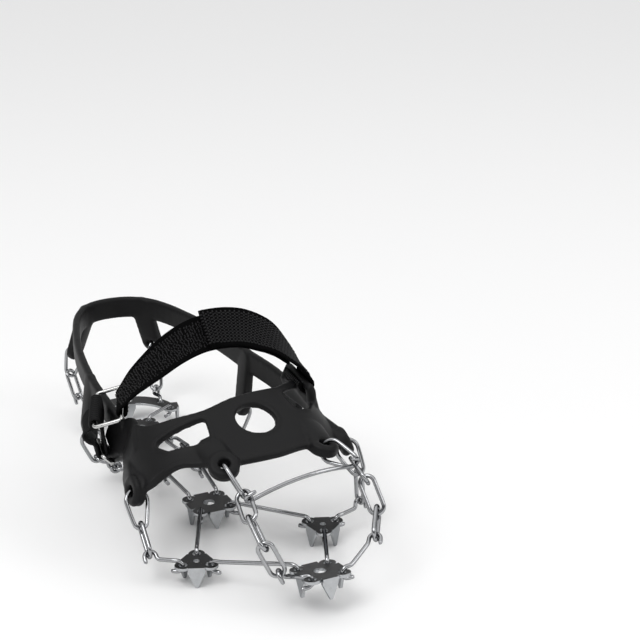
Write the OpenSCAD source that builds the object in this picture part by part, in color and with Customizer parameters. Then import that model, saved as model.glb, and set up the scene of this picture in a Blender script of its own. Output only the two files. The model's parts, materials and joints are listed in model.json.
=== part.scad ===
// Chain ice cleat for the right foot, in the shape that it takes when it is worn.
// Millimetres, +Z up, floor at z = 0, toe towards -Y, outer side of the foot towards -X.

/* [Wire] */
// Diameter of the steel wire of every link
wire_d = 2; // [1.6:0.1:2.2]
// Gap between two wires that hang in each other
wire_gap = 0.5; // [0.4:0.05:0.6]
// Radius of the bend at a hook's end, at the middle of the wire
bend_r = 2.8; // [2.7:0.1:3.2]
// Length of a hook's tail behind its bend
tail_len = 3; // [2:0.5:4]

/* [Chain] */
// Pitch of an oval link
oval_pitch = 15; // [14.5:0.5:16]
// Half width of an oval link, at the middle of the wire
oval_r = 3.5; // [3.4:0.1:4.2]
// Reach of a loop from its lug's eye to the next link
loop_reach = 17; // [16:0.5:19]
// Length of the hooks behind the heel plate
heel_hook_len = 22; // [19:1:25]
// Roll of the middle oval that carries a ladder
ladder_oval_roll = 60; // [55:1:70]

/* [Plates] */
// Thickness of the plates
plate_t = 1.5; // [1.2:0.1:1.8]
// Height of the spikes below the plates
spike_h = 9; // [7:0.5:12]
// Width of a spike at its root
spike_w = 8; // [6:0.5:9]
// Width of the blunt tip of a spike
spike_tip = 1.2; // [0.6:0.1:2]
// Diameter of the holes for the hooks
hook_hole_d = 4; // [3.8:0.1:4.4]
// Diameter of the hole in the middle of a four hole plate
middle_hole_d = 6; // [4:0.5:7]
// Spacing of the holes of a four hole plate
hole_pitch = 15; // [14:0.5:17]
// Distance of the holes of a three hole plate from its middle
tri_hole_r = 7.3; // [6.8:0.1:8.5]
// Radius of the rounded ear round a hook's hole
ear_r = 4; // [3.6:0.1:4.5]
// Distance of a spike's face from the middle of a four hole plate
spike_out = 10.5; // [9.5:0.5:12]
// Distance of a spike's face from the middle of a three hole plate
tri_spike_out = 7.5; // [7:0.5:9]

/* [Sole layout] */
// Sideways place of the toe plate
toe_x = 6; // [3:0.5:9]
// Place of the toe plate along the foot
toe_y = -134; // [-138:1:-128]
// Lift of the toe plate by the toe spring of the shoe
toe_lift = 8; // [5:0.5:10]
// Nose up tilt of the toe plate
toe_tilt = 9; // [6:0.5:11]
// Sideways place of the ball plate
ball_x = -6; // [-9:0.5:-2]
// Place of the ball plate along the foot
ball_y = -31; // [-36:1:-28]
// Distance from a side plate's middle to the hook holes of its two neighbours
side_reach = 52.5; // [50:0.5:56]
// Sideways place of the arch plate
arch_x = -3.5; // [-7:0.5:0]
// Place of the arch plate along the foot
arch_y = 77.5; // [75:0.5:80]
// Sideways place of the heel plate's eyes
heel_x = -0.5; // [-3:0.5:2]
// Place of the heel plate's eyes along the foot
heel_y = 102.5; // [100:0.5:105]
// Turn of the heel plate
heel_turn = -12; // [-16:1:-8]
// Place of the two ladders along the foot
ladder_y = 33; // [28:1:36]
// Sideways place of the outer ladder's oval
outer_ladder_x = -14.5; // [-17:0.5:-12]
// Sideways place of the inner ladder's oval
inner_ladder_x = 8; // [4:0.5:10]

/* [Heel plate] */
// Outer radius of the crescent
heel_outer_r = 27; // [26:0.5:30]
// Distance of the front eyes from the crescent's axis
heel_eye_x = 23.5; // [22.5:0.5:25]
// Distance of the chain holes from the crescent's axis
heel_chain_x = 19; // [18:0.5:20]
// Distance of the chain holes behind the eyes
heel_chain_y = 10; // [9:0.5:11]
// Width of the crescent at its middle
heel_band_w = 11.5; // [10:0.5:13]

/* [Ladders] */
// Pitch from rung to rung
rung_pitch = 9.5; // [9:0.5:10.5]
// Half spacing of the curls on a rung
curl_x = 2.9; // [2.6:0.1:3.1]
// Half length of a rung
rung_w = 5.6; // [5.3:0.1:6.2]
// Half width of a ladder link at its shoulders
shoulder_w = 7.2; // [6.8:0.2:8]
// Length of the last loop of a ladder
ladder_end_len = 10.5; // [10:0.5:12]

/* [Harness] */
// Thickness of the moulded toe panel
panel_t = 3.4; // [2.6:0.2:4.2]
// Thickness of the side and heel band
band_t = 4.2; // [3.4:0.2:5]
// Height of the side and heel band
band_h = 13; // [10:0.5:16]
// Thickness of a lug round its eye
lug_t = 5.2; // [4.6:0.2:5.6]
// Radius of a lug's rounded tip
lug_r = 6.5; // [5.8:0.1:7]
// Diameter of a lug's eye
eye_d = 5.6; // [5.4:0.1:6]
// Half width at the wide end of the loop through a lug
lug_loop_r = 5.6; // [5.4:0.1:6]

/* [Straps] */
// Width of the webbing
strap_w = 20; // [16:0.5:24]
// Thickness of the webbing
strap_t = 1.6; // [1.2:0.1:2]
// Gap between webbing and what it wraps or lies on
strap_gap = 0.4; // [0.3:0.05:0.6]
// Length of the buckle ring along the strap
buckle_len = 14.5; // [14:0.5:16]
// Length of the keeper from the buckle ring down to the anchor ring
keeper_len = 20; // [17:0.5:22]
// Diameter of the moulded bar that the hook strap is sewn round
ear_bar_d = 4.4; // [3.6:0.2:5]

/* [Hidden] */
$fn = 32;

steel = "silver";
rubber = "#242424";
weave = "#1c1c1e";
OUTER = -1;
INNER = 1;
UP = [0, 0, 1];
BACK = [0, 1, 0];

// Vectors
function unit(v) = v / norm(v);
function square_to(v, n) = v - n * (v * n);
function turn_z(v, a) = [v.x * cos(a) - v.y * sin(a), v.x * sin(a) + v.y * cos(a), v.z];
function nose_up(v, a) = [v.x, v.y * cos(a) + v.z * sin(a), v.z * cos(a) - v.y * sin(a)];
function path_sum(v, i) = i < 0 ? [0, 0, 0] : v[i] + path_sum(v, i - 1);

// Height between two hand chosen points, with smooth slopes; points are [place, value] in order of place
function slope(p, i) =
    let (a = max(i - 1, 0), b = min(i + 1, len(p) - 1)) (p[b][1] - p[a][1]) / (p[b][0] - p[a][0]);
function span_at(p, x, i = 0) = i >= len(p) - 2 || x < p[i + 1][0] ? i : span_at(p, x, i + 1);
function curve(p, x) =
    let (i = span_at(p, x), w = p[i + 1][0] - p[i][0], s = min(max((x - p[i][0]) / w, 0), 1))
    let (h = s * s * (3 - 2 * s))
    p[i][1] * (1 - h) + p[i + 1][1] * h + w * s * (1 - s) * (slope(p, i) * (1 - s) - slope(p, i + 1) * s);
// Point on a smooth path through hand chosen points, k from 0 to the number of spans
function on_path(p, k) = [for (axis = [0:2]) curve([for (i = [0:len(p) - 1]) [i, p[i][axis]]], k)];
function smooth_path(p, n) = [for (i = [0:n]) on_path(p, i * (len(p) - 1) / n)];

// Frame with local x along x_dir and local z as near z_dir as it can be
module place(origin, x_dir, z_dir) {
    ex = unit(x_dir);
    ez = unit(square_to(z_dir, ex));
    ey = cross(ez, ex);
    multmatrix([
        [ex.x, ey.x, ez.x, origin.x],
        [ex.y, ey.y, ez.y, origin.y],
        [ex.z, ey.z, ez.z, origin.z],
        [0, 0, 0, 1]
    ]) children();
}

// Wire pieces
function steady(d) = abs(unit(d).z) > 0.9 ? [1, 0, 0] : UP;
module wire(p, q) place(p, q - p, steady(q - p)) rotate([0, 90, 0]) cylinder(d = wire_d, h = norm(q - p));
module turn(r, a) rotate_extrude(angle = a) translate([r, 0]) circle(d = wire_d);
// Bent wire along a path of points, with a ring of tube_sides at each point; normal starts the first ring
tube_sides = 8;
function tube_way(p, i, closed) =
    let (n = len(p), a = closed ? (i + n - 1) % n : max(i - 1, 0), b = closed ? (i + 1) % n : min(i + 1, n - 1))
    unit(unit(p[i == a ? b : i] - p[a]) + unit(p[b] - p[i == b ? a : i]));
module tube(path, normal, closed = false) {
    n = len(path);
    ways = [for (i = [0:n - 1]) tube_way(path, i, closed)];
    sides = [
        for (i = 0, v = normal; i < n; i = i + 1, v = i < n ? unit(square_to(v, ways[i])) : v)
            unit(square_to(v, ways[i]))
    ];
    points = [
        for (i = [0:n - 1], k = [0:tube_sides - 1])
            let (a = 360 * k / tube_sides)
            path[i] + (sides[i] * cos(a) + cross(ways[i], sides[i]) * sin(a)) * wire_d / 2
    ];
    walls = [
        for (i = [0:closed ? n - 1 : n - 2], k = [0:tube_sides - 1])
            let (a = tube_sides * i, b = tube_sides * ((i + 1) % n), m = (k + 1) % tube_sides)
            for (tri = [[a + k, b + k, a + m], [a + m, b + k, b + m]]) tri
    ];
    last = tube_sides * (n - 1);
    ends = closed ? [] : [
        for (k = [1:tube_sides - 2])
            for (tri = [[0, k, k + 1], [last, last + k + 1, last + k]]) tri
    ];
    polyhedron(points, concat(walls, ends));
}
// Arc of n steps round centre, from angle a to angle b, where across is at 0 and along at 90 degrees
function arc(centre, across, along, r, a, b, n) = [
    for (i = [0:n])
        let (t = a + (b - a) * i / n) centre + across * r * cos(t) + along * r * sin(t)
];
// Smooth bend at k on the way from a to b
function bend(a, k, b, cut) =
    let (p = k + unit(a - k) * cut, q = k + unit(b - k) * cut)
    [for (t = [0:0.25:1]) p * pow(1 - t, 2) + k * 2 * t * (1 - t) + q * t * t];
function reversed(p) = [for (i = [len(p) - 1:-1:0]) p[i]];

// How far a link's end reaches past the point where two links meet in line, and where they meet at a bend
link_lap = (wire_d + wire_gap) / 2;
function bend_lap(way_in, way_out, more = 0.9) =
    let (c = unit(way_in) * unit(way_out)) 2 * link_lap / (1 + c) + more * (1 - c);

// Closed loop of wire; the wire's middle passes through start and end, and the loop is square to normal
module loop_link(start, end) {
    span = norm(end - start) - 2 * oval_r;
    translate([oval_r, 0, 0]) rotate([0, 0, 90]) turn(oval_r, 180);
    translate([oval_r + span, 0, 0]) rotate([0, 0, -90]) turn(oval_r, 180);
    for (side = [-1, 1]) wire([oval_r, side * oval_r, 0], [oval_r + span, side * oval_r, 0]);
}
// Loop that is wider at its start
module tapered_loop(start, end, normal, r_start, r_end) {
    u = unit(end - start);
    v = unit(cross(normal, u));
    span = norm(end - start) - r_start - r_end;
    lean = asin((r_start - r_end) / span);
    first = start + u * r_start;
    tube(
        concat(
            arc(first, u, v, r_start, 90 - lean, 270 + lean, 10),
            arc(first + u * span, u, v, r_end, lean - 90, 90 - lean, 8)
        ),
        unit(cross(u, v)), true
    );
}
module oval(p, q, normal, lap_p = link_lap, lap_q = link_lap) {
    u = unit(q - p);
    place(p - u * lap_p, u, normal) loop_link([0, 0, 0], [norm(q - p) + lap_p + lap_q, 0, 0]);
}

// Hook's end: a half turn whose wire crosses at point, open towards inward, with its tail off the shoe
knee_run = bend_r + 2;
module hook_curl() {
    translate([bend_r, 0, 0]) rotate([90, 0, 0]) rotate([0, 0, 90]) turn(bend_r, 180);
    translate([bend_r, 0, -bend_r]) rotate([0, 90, 0]) cylinder(d = wire_d, h = tail_len);
}
function curl_path(point, inward, shoe_side) =
    let (c = point + inward * bend_r)
    concat([c + inward * tail_len - shoe_side * bend_r], arc(c, -shoe_side, -inward, bend_r, 0, 180, 10));
function knee(point, inward, shoe_side) = point + inward * knee_run + shoe_side * bend_r;
knee_cut = 1.6;
// Straight hook link between two crossings that lie square to n
module straight_hook(a, b, n) place(a, b - a, n) {
    span = norm(b - a);
    hook_curl();
    translate([span, 0, 0]) rotate([0, 0, 180]) hook_curl();
    translate([bend_r, 0, bend_r]) rotate([0, 90, 0]) cylinder(d = wire_d, h = span - 2 * bend_r);
}
// Hook link between two crossings, each with the way it opens and the shoe's side
module hook_link(a, way_a, n_a, b, way_b, n_b) {
    knee_a = knee(a, way_a, n_a);
    knee_b = knee(b, way_b, n_b);
    tube(
        concat(
            curl_path(a, way_a, n_a), bend(knee_a - way_a, knee_a, knee_b, knee_cut),
            bend(knee_a, knee_b, knee_b - way_b, knee_cut), reversed(curl_path(b, way_b, n_b))
        ),
        cross(way_a, n_a)
    );
}
// Hook from a plate's hole to the point where it meets an oval; the oval runs along inward, square to out
// lead is the way that the hook leaves the hole
module plate_hook(hole, n_hole, meet, inward, out, lead) {
    shoe_side = unit(square_to(-out, inward));
    hook_link(hole, unit(square_to(lead, n_hole)), n_hole, meet - inward * link_lap, inward, shoe_side);
}

// Plates: height of the middle of a plate that stands on its spikes
deck_z = spike_h + plate_t / 2;
toe_at = [toe_x, toe_y, deck_z + toe_lift];
ball_at = [ball_x, ball_y, deck_z];
arch_at = [arch_x, arch_y, deck_z];
heel_at = [heel_x, heel_y, deck_z];
function quad_hole(sx, sy) = [sx * hole_pitch / 2, sy * hole_pitch / 2, 0];
function toe_hole(sx, sy) = toe_at + nose_up(quad_hole(sx, sy), toe_tilt);
function ball_hole(sx, sy) = ball_at + quad_hole(sx, sy);
function arch_hole(sx, sy) = arch_at + quad_hole(sx, sy);
toe_up = nose_up(UP, toe_tilt);

// A side plate lies at side_reach from one hole of the toe plate and one of the ball plate
function side_at(s) =
    let (a = toe_hole(s, 1), b = ball_hole(s, -1), base = [b.x - a.x, b.y - a.y, 0])
    let (off = sqrt(side_reach * side_reach - base * base / 4), n = unit([base.y, -base.x, 0]))
    [(a.x + b.x) / 2, (a.y + b.y) / 2, deck_z] + n * s * off;
function side_turn(s) =
    let (a = toe_hole(s, 1), b = ball_hole(s, -1)) atan2(-(b.x - a.x), b.y - a.y) + (s == OUTER ? 180 : 0);
function tri_dir(a) = [cos(a), sin(a), 0];
// Holes of a side plate: 0 away from the foot, -1 towards the toe, 1 towards the ball
function side_hole(s, k) =
    let (a = k == 0 ? 0 : k < 0 ? -120 : 120)
    side_at(s) + tri_dir(side_turn(s) + s * a) * tri_hole_r;

// Heel plate
function heel_point(x, y) = heel_at + turn_z([x, y, 0], heel_turn);
function heel_eye(s) = heel_point(s * heel_eye_x, 0);
function heel_chain(s) = heel_point(s * heel_chain_x, heel_chain_y);

// Foot surface: width, crown and shape of the shoe that the cleat is shaped to, by place along the foot
foot_mid_x = 2;
foot_base_z = 20;
foot_power = 2.4;
FOOT_WIDTH = [[-110, 42], [-90, 51], [-66, 57], [-40, 57], [-15, 49.5], [20, 47]];
FOOT_CROWN = [[-110, 48], [-90, 56.5], [-66, 67], [-48, 75], [-34, 84], [-20, 93], [0, 100]];
function bow(v, p) = sign(v) * pow(abs(v), p);
function foot(a, y) = [
    foot_mid_x - curve(FOOT_WIDTH, y) * bow(cos(a), 2 / foot_power),
    y,
    foot_base_z + (curve(FOOT_CROWN, y) - foot_base_z) * bow(sin(a), 2 / foot_power)
];
function foot_out(a, y) = unit(cross(foot(a + 1, y) - foot(a - 1, y), foot(a, y + 1) - foot(a, y - 1)));
// Point at height h in the panel; the panel's outer face lies on the foot surface
function on_foot(a, y, h) = foot(a, y) + foot_out(a, y) * (h - panel_t);

// Outward side of a chain at a point of the upper, of the heel and of the sole
core_front = [2, -95, 25];
core_heel = [0, 110, 30];
function upper_out(m) = unit([m.x - core_front.x, min(m.y - core_front.y, 0), m.z - core_front.z]);
function heel_out(m) = unit(m - core_heel);

// Front lugs: angle round the foot and place along it of each eye, the way of the eye where it leans,
// and the eyes' height over the panel's middle
LUG_L1 = [17, -57];
LUG_L2 = [69, -86.5, [-0.17, -0.4, 0.9]];
LUG_L3 = [121, -84, [0.22, -0.12, 0.94]];
LUG_L4 = [150, -66];
lug_rise = 2;
function lug_eye(lug) = on_foot(lug[0], lug[1], panel_t / 2 + lug_rise);

// Ways that the links of the front chains run, from the lug to the plate
RUN_L1 = [[-1, -8.5, -12.5], [-0.5, -12.5, -9.5]];
RUN_L2 = [[2.7, -14.2, -8.5], [-2, -14.2, -6.5], [0.5, -13.5, -8], [6, -3.5, -13.5]];
RUN_L3 = [[9, -14, -4], [-0.8, -15.5, -3.5], [1.6, -9.6, -12.5], [-8, -12, -7.5]];
RUN_L4 = [[5, -7, -14], [-0.5, -3, -15.5]];
// Points where the links of a chain meet, the first at the lug's eye
function chain_points(start, run) = [
    for (i = [0:len(run)])
        start + path_sum([for (k = [0:len(run) - 1]) unit(run[k]) * (k == 0 ? loop_reach : oval_pitch)], i - 1)
];
outer_side = chain_points(lug_eye(LUG_L1), RUN_L1);
outer_toe = chain_points(lug_eye(LUG_L2), RUN_L2);
inner_toe = chain_points(lug_eye(LUG_L3), RUN_L3);
inner_side = chain_points(lug_eye(LUG_L4), RUN_L4);

// Links of a front chain: odd ones lie on the foot, even ones stand on edge
function link_mid(c, i) = (c[i] + c[i + 1]) / 2;
function link_out(c, i) = upper_out(link_mid(c, i));
function link_across(c, i) = unit(cross(link_out(c, i), c[i + 1] - c[i]));
module lug_loop(eye, meet, across, lap) {
    u = unit(meet - eye);
    color(steel) tapered_loop(eye - u * wire_gap, meet + u * lap, across, lug_loop_r, oval_r);
}
// Link i of a chain at its joint k; a link on edge reaches further at a bend than one that lies flat
function joint_lap(c, i, k) =
    k < len(c) - 1 ? bend_lap(c[k] - c[k - 1], c[k + 1] - c[k], i % 2 == 0 ? 1.7 : -0.6) : link_lap;
function lug_out(c, lug) = foot_out(lug[0], lug[1]) + link_out(c, 0);
module chain_loop(c, lug) lug_loop(c[0], c[1], cross(lug_out(c, lug), c[1] - c[0]), joint_lap(c, 0, 1));
module chain_oval(c, i)
    color(steel)
        oval(
            c[i], c[i + 1], i % 2 == 1 ? link_out(c, i) : link_across(c, i),
            joint_lap(c, i, i), joint_lap(c, i, i + 1)
        );
module chain_hook(c, hole, up, lead) {
    last = len(c) - 1;
    color(steel) plate_hook(hole, up, c[last], unit(c[last] - c[last - 1]), link_out(c, last - 1), lead);
}
module side_hook(c, s)
    chain_hook(c, side_hole(s, 0), UP, c[len(c) - 1] - side_hole(s, 0));
module toe_hook(c, s) chain_hook(c, toe_hole(s, -1), toe_up, [s, 0, 0]);

// Chains under the arch: from the ball plate to the arch plate, with the middle oval at the ladder
function ladder_mid(s) = [s == OUTER ? outer_ladder_x : inner_ladder_x, ladder_y, deck_z];
function mid_way(s) = unit(arch_hole(s, -1) - ball_hole(s, 1));
function mid_meet(s, k) =
    let (m = ladder_mid(s), u = mid_way(s), p = m - u * oval_pitch / 2, q = m + u * oval_pitch / 2)
    k == 1 ? p + unit(ball_hole(s, 1) - p) * oval_pitch
    : k == 2 ? p
    : k == 3 ? q
    : q + unit(arch_hole(s, -1) - q) * oval_pitch;
function ladder_side(s) = cross(mid_way(s), UP) * s;
function ladder_leg_dir(s) = ladder_side(s) * cos(ladder_oval_roll) - UP * sin(ladder_oval_roll);
function mid_lap(s, k) =
    k == 1 || k == 4 ? link_lap
    : bend_lap(mid_meet(s, k) - mid_meet(s, k - 1), mid_meet(s, k + 1) - mid_meet(s, k));
module mid_oval(s, k)
    color(steel)
        oval(
            mid_meet(s, k), mid_meet(s, k + 1), k == 2 ? cross(ladder_leg_dir(s), mid_way(s)) : UP,
            mid_lap(s, k), mid_lap(s, k + 1)
        );
module mid_hook(s)
    color(steel)
        straight_hook(ball_hole(s, 1), mid_meet(s, 1) - unit(mid_meet(s, 1) - mid_meet(s, 2)) * link_lap, UP);
module arch_hook(s)
    color(steel)
        straight_hook(arch_hole(s, -1), mid_meet(s, 4) - unit(mid_meet(s, 4) - mid_meet(s, 3)) * link_lap, UP);

// Ladders: hinge lines from the middle oval's lower leg out to the side of the foot
LADDER_RISE = [6, 18, 34];
curl_r = wire_d + wire_gap;
function ladder_dir(s, k) = ladder_side(s) * cos(LADDER_RISE[k]) + UP * sin(LADDER_RISE[k]);
function ladder_hinge(s, k) =
    k == 0 ? ladder_mid(s) + ladder_leg_dir(s) * oval_r
    : ladder_hinge(s, k - 1) + ladder_dir(s, k - 1) * rung_pitch;
function ladder_tip(s) = ladder_hinge(s, 2) + ladder_dir(s, 2) * ladder_end_len;
// Curl round a rung at local x = 0, from its free end to its top
curl_turn = 250;
function ladder_curl(side) = arc([0, side * curl_x, 0], [1, 0, 0], UP, curl_r, 90 + curl_turn, 90, 12);
function but_last(p) = [for (i = [0:len(p) - 2]) p[i]];
shoulder_share = 0.68;
function ladder_half(side) =
    let (top = [0, side * curl_x, curl_r], corner = [rung_pitch, side * rung_w, 0])
    let (shoulder = [rung_pitch * shoulder_share, side * shoulder_w, curl_r * (1 - shoulder_share)])
    concat(
        but_last(ladder_curl(side)), bend(top - [1, 0, 0], top, shoulder, 0.8),
        bend(top, shoulder, corner, 1.5), bend(shoulder, corner, [rung_pitch, 0, 0], 1.5)
    );
module ladder(s, k)
    color(steel)
        place(ladder_hinge(s, k), ladder_dir(s, k), UP)
            tube(concat(ladder_half(-1), reversed(ladder_half(1))), BACK);
function end_half(side, tip_x) =
    let (top = [0, side * curl_x, curl_r])
    concat(but_last(ladder_curl(side)), bend(top - [1, 0, 0], top, [tip_x, side * oval_r, 0], 0.8));
module ladder_end(s) {
    tip_x = ladder_end_len + tip_lap(s) - oval_r;
    tip = arc([tip_x, 0, 0], [1, 0, 0], BACK, oval_r, -90, 90, 8);
    color(steel)
        place(ladder_hinge(s, 2), ladder_dir(s, 2), UP)
            tube(concat(end_half(-1, tip_x), tip, reversed(end_half(1, tip_x))), BACK);
}
// Ring from the ladder's tip up to the eye of the waist lug
WAIST_RUN = [4.5, 0, 18];
function waist_eye(s) = ladder_tip(s) + unit([s * WAIST_RUN.x, WAIST_RUN.y, WAIST_RUN.z]) * loop_reach;
function tip_lap(s) = bend_lap(ladder_dir(s, 2), waist_eye(s) - ladder_tip(s));
module waist_ring(s) lug_loop(waist_eye(s), ladder_tip(s), mid_way(s), tip_lap(s));

// Heel chains: hook, oval and ring from the heel plate round the edge of the heel up to a lug
HEEL_RUN = [[5, 21, 1.5], [2.5, 6, 14.5], [-2.5, -3.5, 13.5]];
function heel_way(s, k) = unit([s * HEEL_RUN[k].x, HEEL_RUN[k].y, HEEL_RUN[k].z]);
function heel_meet(s, k) = k == 1
    ? heel_chain(s) + heel_way(s, 0) * heel_hook_len
    : heel_meet(s, 1) + heel_way(s, 1) * oval_pitch;
function heel_lug_eye(s) = heel_meet(s, 2) + heel_way(s, 2) * loop_reach;
function heel_link_out(s) = heel_out((heel_meet(s, 1) + heel_meet(s, 2)) / 2);
module heel_hook(s)
    color(steel)
        plate_hook(heel_chain(s), UP, heel_meet(s, 1), -heel_way(s, 1), heel_link_out(s), heel_way(s, 0));
function heel_lap(s) = bend_lap(heel_way(s, 1), heel_way(s, 2));
module heel_oval(s)
    color(steel) oval(heel_meet(s, 1), heel_meet(s, 2), heel_link_out(s), link_lap, heel_lap(s));
function heel_ring_across(s) = unit(cross(heel_link_out(s), heel_way(s, 2)));
module heel_ring(s) lug_loop(heel_lug_eye(s), heel_meet(s, 2), heel_ring_across(s), heel_lap(s));
module heel_link(s) color(steel) straight_hook(arch_hole(s, 1), heel_eye(s), UP);

// Long links of the front net, and the spreader between the two toe chains
module toe_link(s) {
    a = toe_hole(s, 1);
    b = side_hole(s, -1);
    color(steel) hook_link(a, unit(square_to(b - a, toe_up)), toe_up, b, unit(square_to(a - b, UP)), UP);
}
module ball_link(s) color(steel) straight_hook(side_hole(s, 1), ball_hole(s, -1), UP);
// The spreader's bends hold the inner leg of the first oval of each toe chain
spreader_down = 4.4;
spreader_lean = 20;
function spreader_leg(c, s) =
    c[1] + unit(c[2] - c[1]) * spreader_down + link_across(c, 1) * oval_r * s;
module toe_spreader() color(steel) {
    leg_a = spreader_leg(outer_toe, INNER);
    leg_b = spreader_leg(inner_toe, OUTER);
    way = unit(leg_b - leg_a);
    out = unit(square_to(link_out(outer_toe, 1) + link_out(inner_toe, 1), way));
    way_a = way * cos(spreader_lean) + out * sin(spreader_lean);
    way_b = out * sin(spreader_lean) - way * cos(spreader_lean);
    shoe_a = unit(square_to(-out, way_a));
    shoe_b = unit(square_to(-out, way_b));
    a = leg_a - way_a * (wire_d + wire_gap);
    b = leg_b - way_b * (wire_d + wire_gap);
    p = knee(a, way_a, shoe_a);
    q = knee(b, way_b, shoe_b);
    r = norm(q - p) / 2 / sin(spreader_lean);
    centre = (p + q) / 2 - out * r * cos(spreader_lean);
    bow = arc(centre, out, unit(q - p), r, -spreader_lean, spreader_lean, 12);
    tube(concat(curl_path(a, way_a, shoe_a), bow, reversed(curl_path(b, way_b, shoe_b))), cross(way_a, shoe_a));
}
// Plates
module spike(out) translate([out - plate_t, 0, 0]) rotate([90, 0, 90]) linear_extrude(plate_t)
    polygon([
        [-spike_w / 2, plate_t], [spike_w / 2, plate_t], [spike_w / 2, -plate_t],
        [spike_tip / 2, -spike_h], [-spike_tip / 2, -spike_h], [-spike_w / 2, -plate_t]
    ]);
module spike_tab(out) translate([0, -spike_w / 2]) square([out, spike_w]);
module quad_plate() translate([0, 0, -plate_t / 2]) {
    linear_extrude(plate_t) difference() {
        union() {
            for (sx = [-1, 1], sy = [-1, 1]) translate([sx, sy] * hole_pitch / 2) circle(r = ear_r);
            for (a = [0, 90]) rotate(a) square([hole_pitch + 2 * ear_r, spike_w], center = true);
            square(hole_pitch, center = true);
            for (a = [0:90:270]) rotate(a) spike_tab(spike_out);
        }
        circle(d = middle_hole_d);
        for (sx = [-1, 1], sy = [-1, 1]) translate([sx, sy] * hole_pitch / 2) circle(d = hook_hole_d);
    }
    for (a = [0:90:270]) rotate(a) spike(spike_out);
}
module tri_plate() translate([0, 0, -plate_t / 2]) {
    linear_extrude(plate_t) difference() {
        union() {
            circle(r = tri_hole_r);
            for (a = [0:120:240]) {
                rotate(a) translate([tri_hole_r, 0]) circle(r = ear_r);
                rotate(a + 60) spike_tab(tri_spike_out);
            }
        }
        circle(d = middle_hole_d / 2);
        for (a = [0:120:240]) rotate(a) translate([tri_hole_r, 0]) circle(d = hook_hole_d);
    }
    for (a = [60:120:300]) rotate(a) spike(tri_spike_out);
}
heel_back_y = heel_outer_r - 3;
heel_mid_y = heel_back_y - heel_band_w / 2;
module heel_crescent() {
    inner_top = heel_back_y - heel_band_w;
    inner_end = heel_eye_x - ear_r;
    inner_r = (inner_end * inner_end + inner_top * inner_top) / (2 * inner_top);
    difference() {
        translate([0, heel_back_y - heel_outer_r]) circle(r = heel_outer_r);
        translate([0, inner_top - inner_r]) circle(r = inner_r);
        translate([-2 * heel_outer_r, -4 * heel_outer_r]) square(4 * heel_outer_r);
    }
}
heel_spike_y = 4;
module heel_plate_solid() translate([0, 0, -plate_t / 2]) {
    linear_extrude(plate_t) difference() {
        union() {
            heel_crescent();
            for (s = [-1, 1]) translate([s * heel_eye_x, 0]) circle(r = ear_r);
            for (s = [-1, 1]) translate([s * heel_eye_x, heel_spike_y])
                rotate(s > 0 ? 0 : 180) spike_tab(heel_outer_r - heel_eye_x + plate_t);
            translate([0, heel_mid_y]) rotate(-90) spike_tab(heel_band_w / 2 + plate_t);
        }
        translate([0, heel_mid_y]) circle(d = middle_hole_d);
        for (s = [-1, 1]) {
            translate([s * heel_eye_x, 0]) circle(d = hook_hole_d);
            translate([s * heel_chain_x, heel_chain_y]) circle(d = hook_hole_d);
        }
    }
    for (s = [-1, 1]) translate([s * heel_eye_x, heel_spike_y, 0])
        rotate(s > 0 ? 0 : 180) spike(heel_outer_r - heel_eye_x + plate_t);
    translate([0, heel_mid_y, 0]) rotate(-90) spike(heel_band_w / 2 + plate_t);
}
module toe_plate() color(steel) translate(toe_at) rotate([-toe_tilt, 0, 0]) quad_plate();
module ball_plate() color(steel) translate(ball_at) quad_plate();
module arch_plate() color(steel) translate(arch_at) quad_plate();
module side_plate(s) color(steel) translate(side_at(s)) rotate(side_turn(s)) tri_plate();
module heel_plate() color(steel) translate(heel_at) rotate(heel_turn) heel_plate_solid();

// Ribbon along a path: sides gives the way across at each point; closed joins the ends
function ribbon_way(p, i, closed) =
    let (n = len(p), a = closed ? (i + n - 1) % n : max(i - 1, 0), b = closed ? (i + 1) % n : min(i + 1, n - 1))
    unit(p[b] - p[a]);
module ribbon(path, sides, width, thick, closed = false) {
    n = len(path);
    points = [
        for (i = [0:n - 1])
            let (side = unit(square_to(sides[i], ribbon_way(path, i, closed))))
            let (out = cross(ribbon_way(path, i, closed), side))
            for (c = [[-1, -1], [1, -1], [1, 1], [-1, 1]])
                path[i] + side * c[0] * width / 2 + out * c[1] * thick / 2
    ];
    rings = closed ? n : n - 1;
    walls = [
        for (i = [0:rings - 1], c = [0:3])
            let (a = 4 * i + c, b = 4 * i + (c + 1) % 4, d = 4 * ((i + 1) % n))
            for (tri = [[a, d + c, b], [b, d + c, d + (c + 1) % 4]]) tri
    ];
    last = 4 * n - 1;
    ends = closed ? [] : [[0, 1, 2], [0, 2, 3], [last, last - 1, last - 2], [last, last - 2, last - 3]];
    polyhedron(points, concat(walls, ends));
}

// Straps: middle of the lower strap over the instep, from the buckle ring to the inner ear
ARCH = [
    [-45, -12, 66.8], [-36.5, -13, 75.8], [-27.5, -15, 83.5], [-16, -16.5, 91.5], [-4.5, -18, 96.5],
    [7, -19.5, 98], [18, -21, 96.8], [27.6, -23.5, 92.9], [33.7, -26, 88.5], [38.9, -28.5, 82.8],
    [43, -30.9, 77.2], [46, -33, 71.3]
];
ARCH_SIDE = [[0.36, 0.89, 0.28], [0, 0.82, 0.57], [0.06, 0.96, 0.08]];
arch_end = len(ARCH) - 1;
hook_start = 4.3;
pile_end = 9.4;
function arch_side(k) = unit(on_path(ARCH_SIDE, 2 * k / arch_end));
function arch_way(k) =
    unit(square_to(on_path(ARCH, min(k + 0.05, arch_end)) - on_path(ARCH, max(k - 0.05, 0)), arch_side(k)));
function arch_out(k) = unit(cross(arch_way(k), arch_side(k)));
function arch_point(k, h) = on_path(ARCH, k) + arch_out(k) * h;
strap_step = strap_t + strap_gap;
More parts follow.
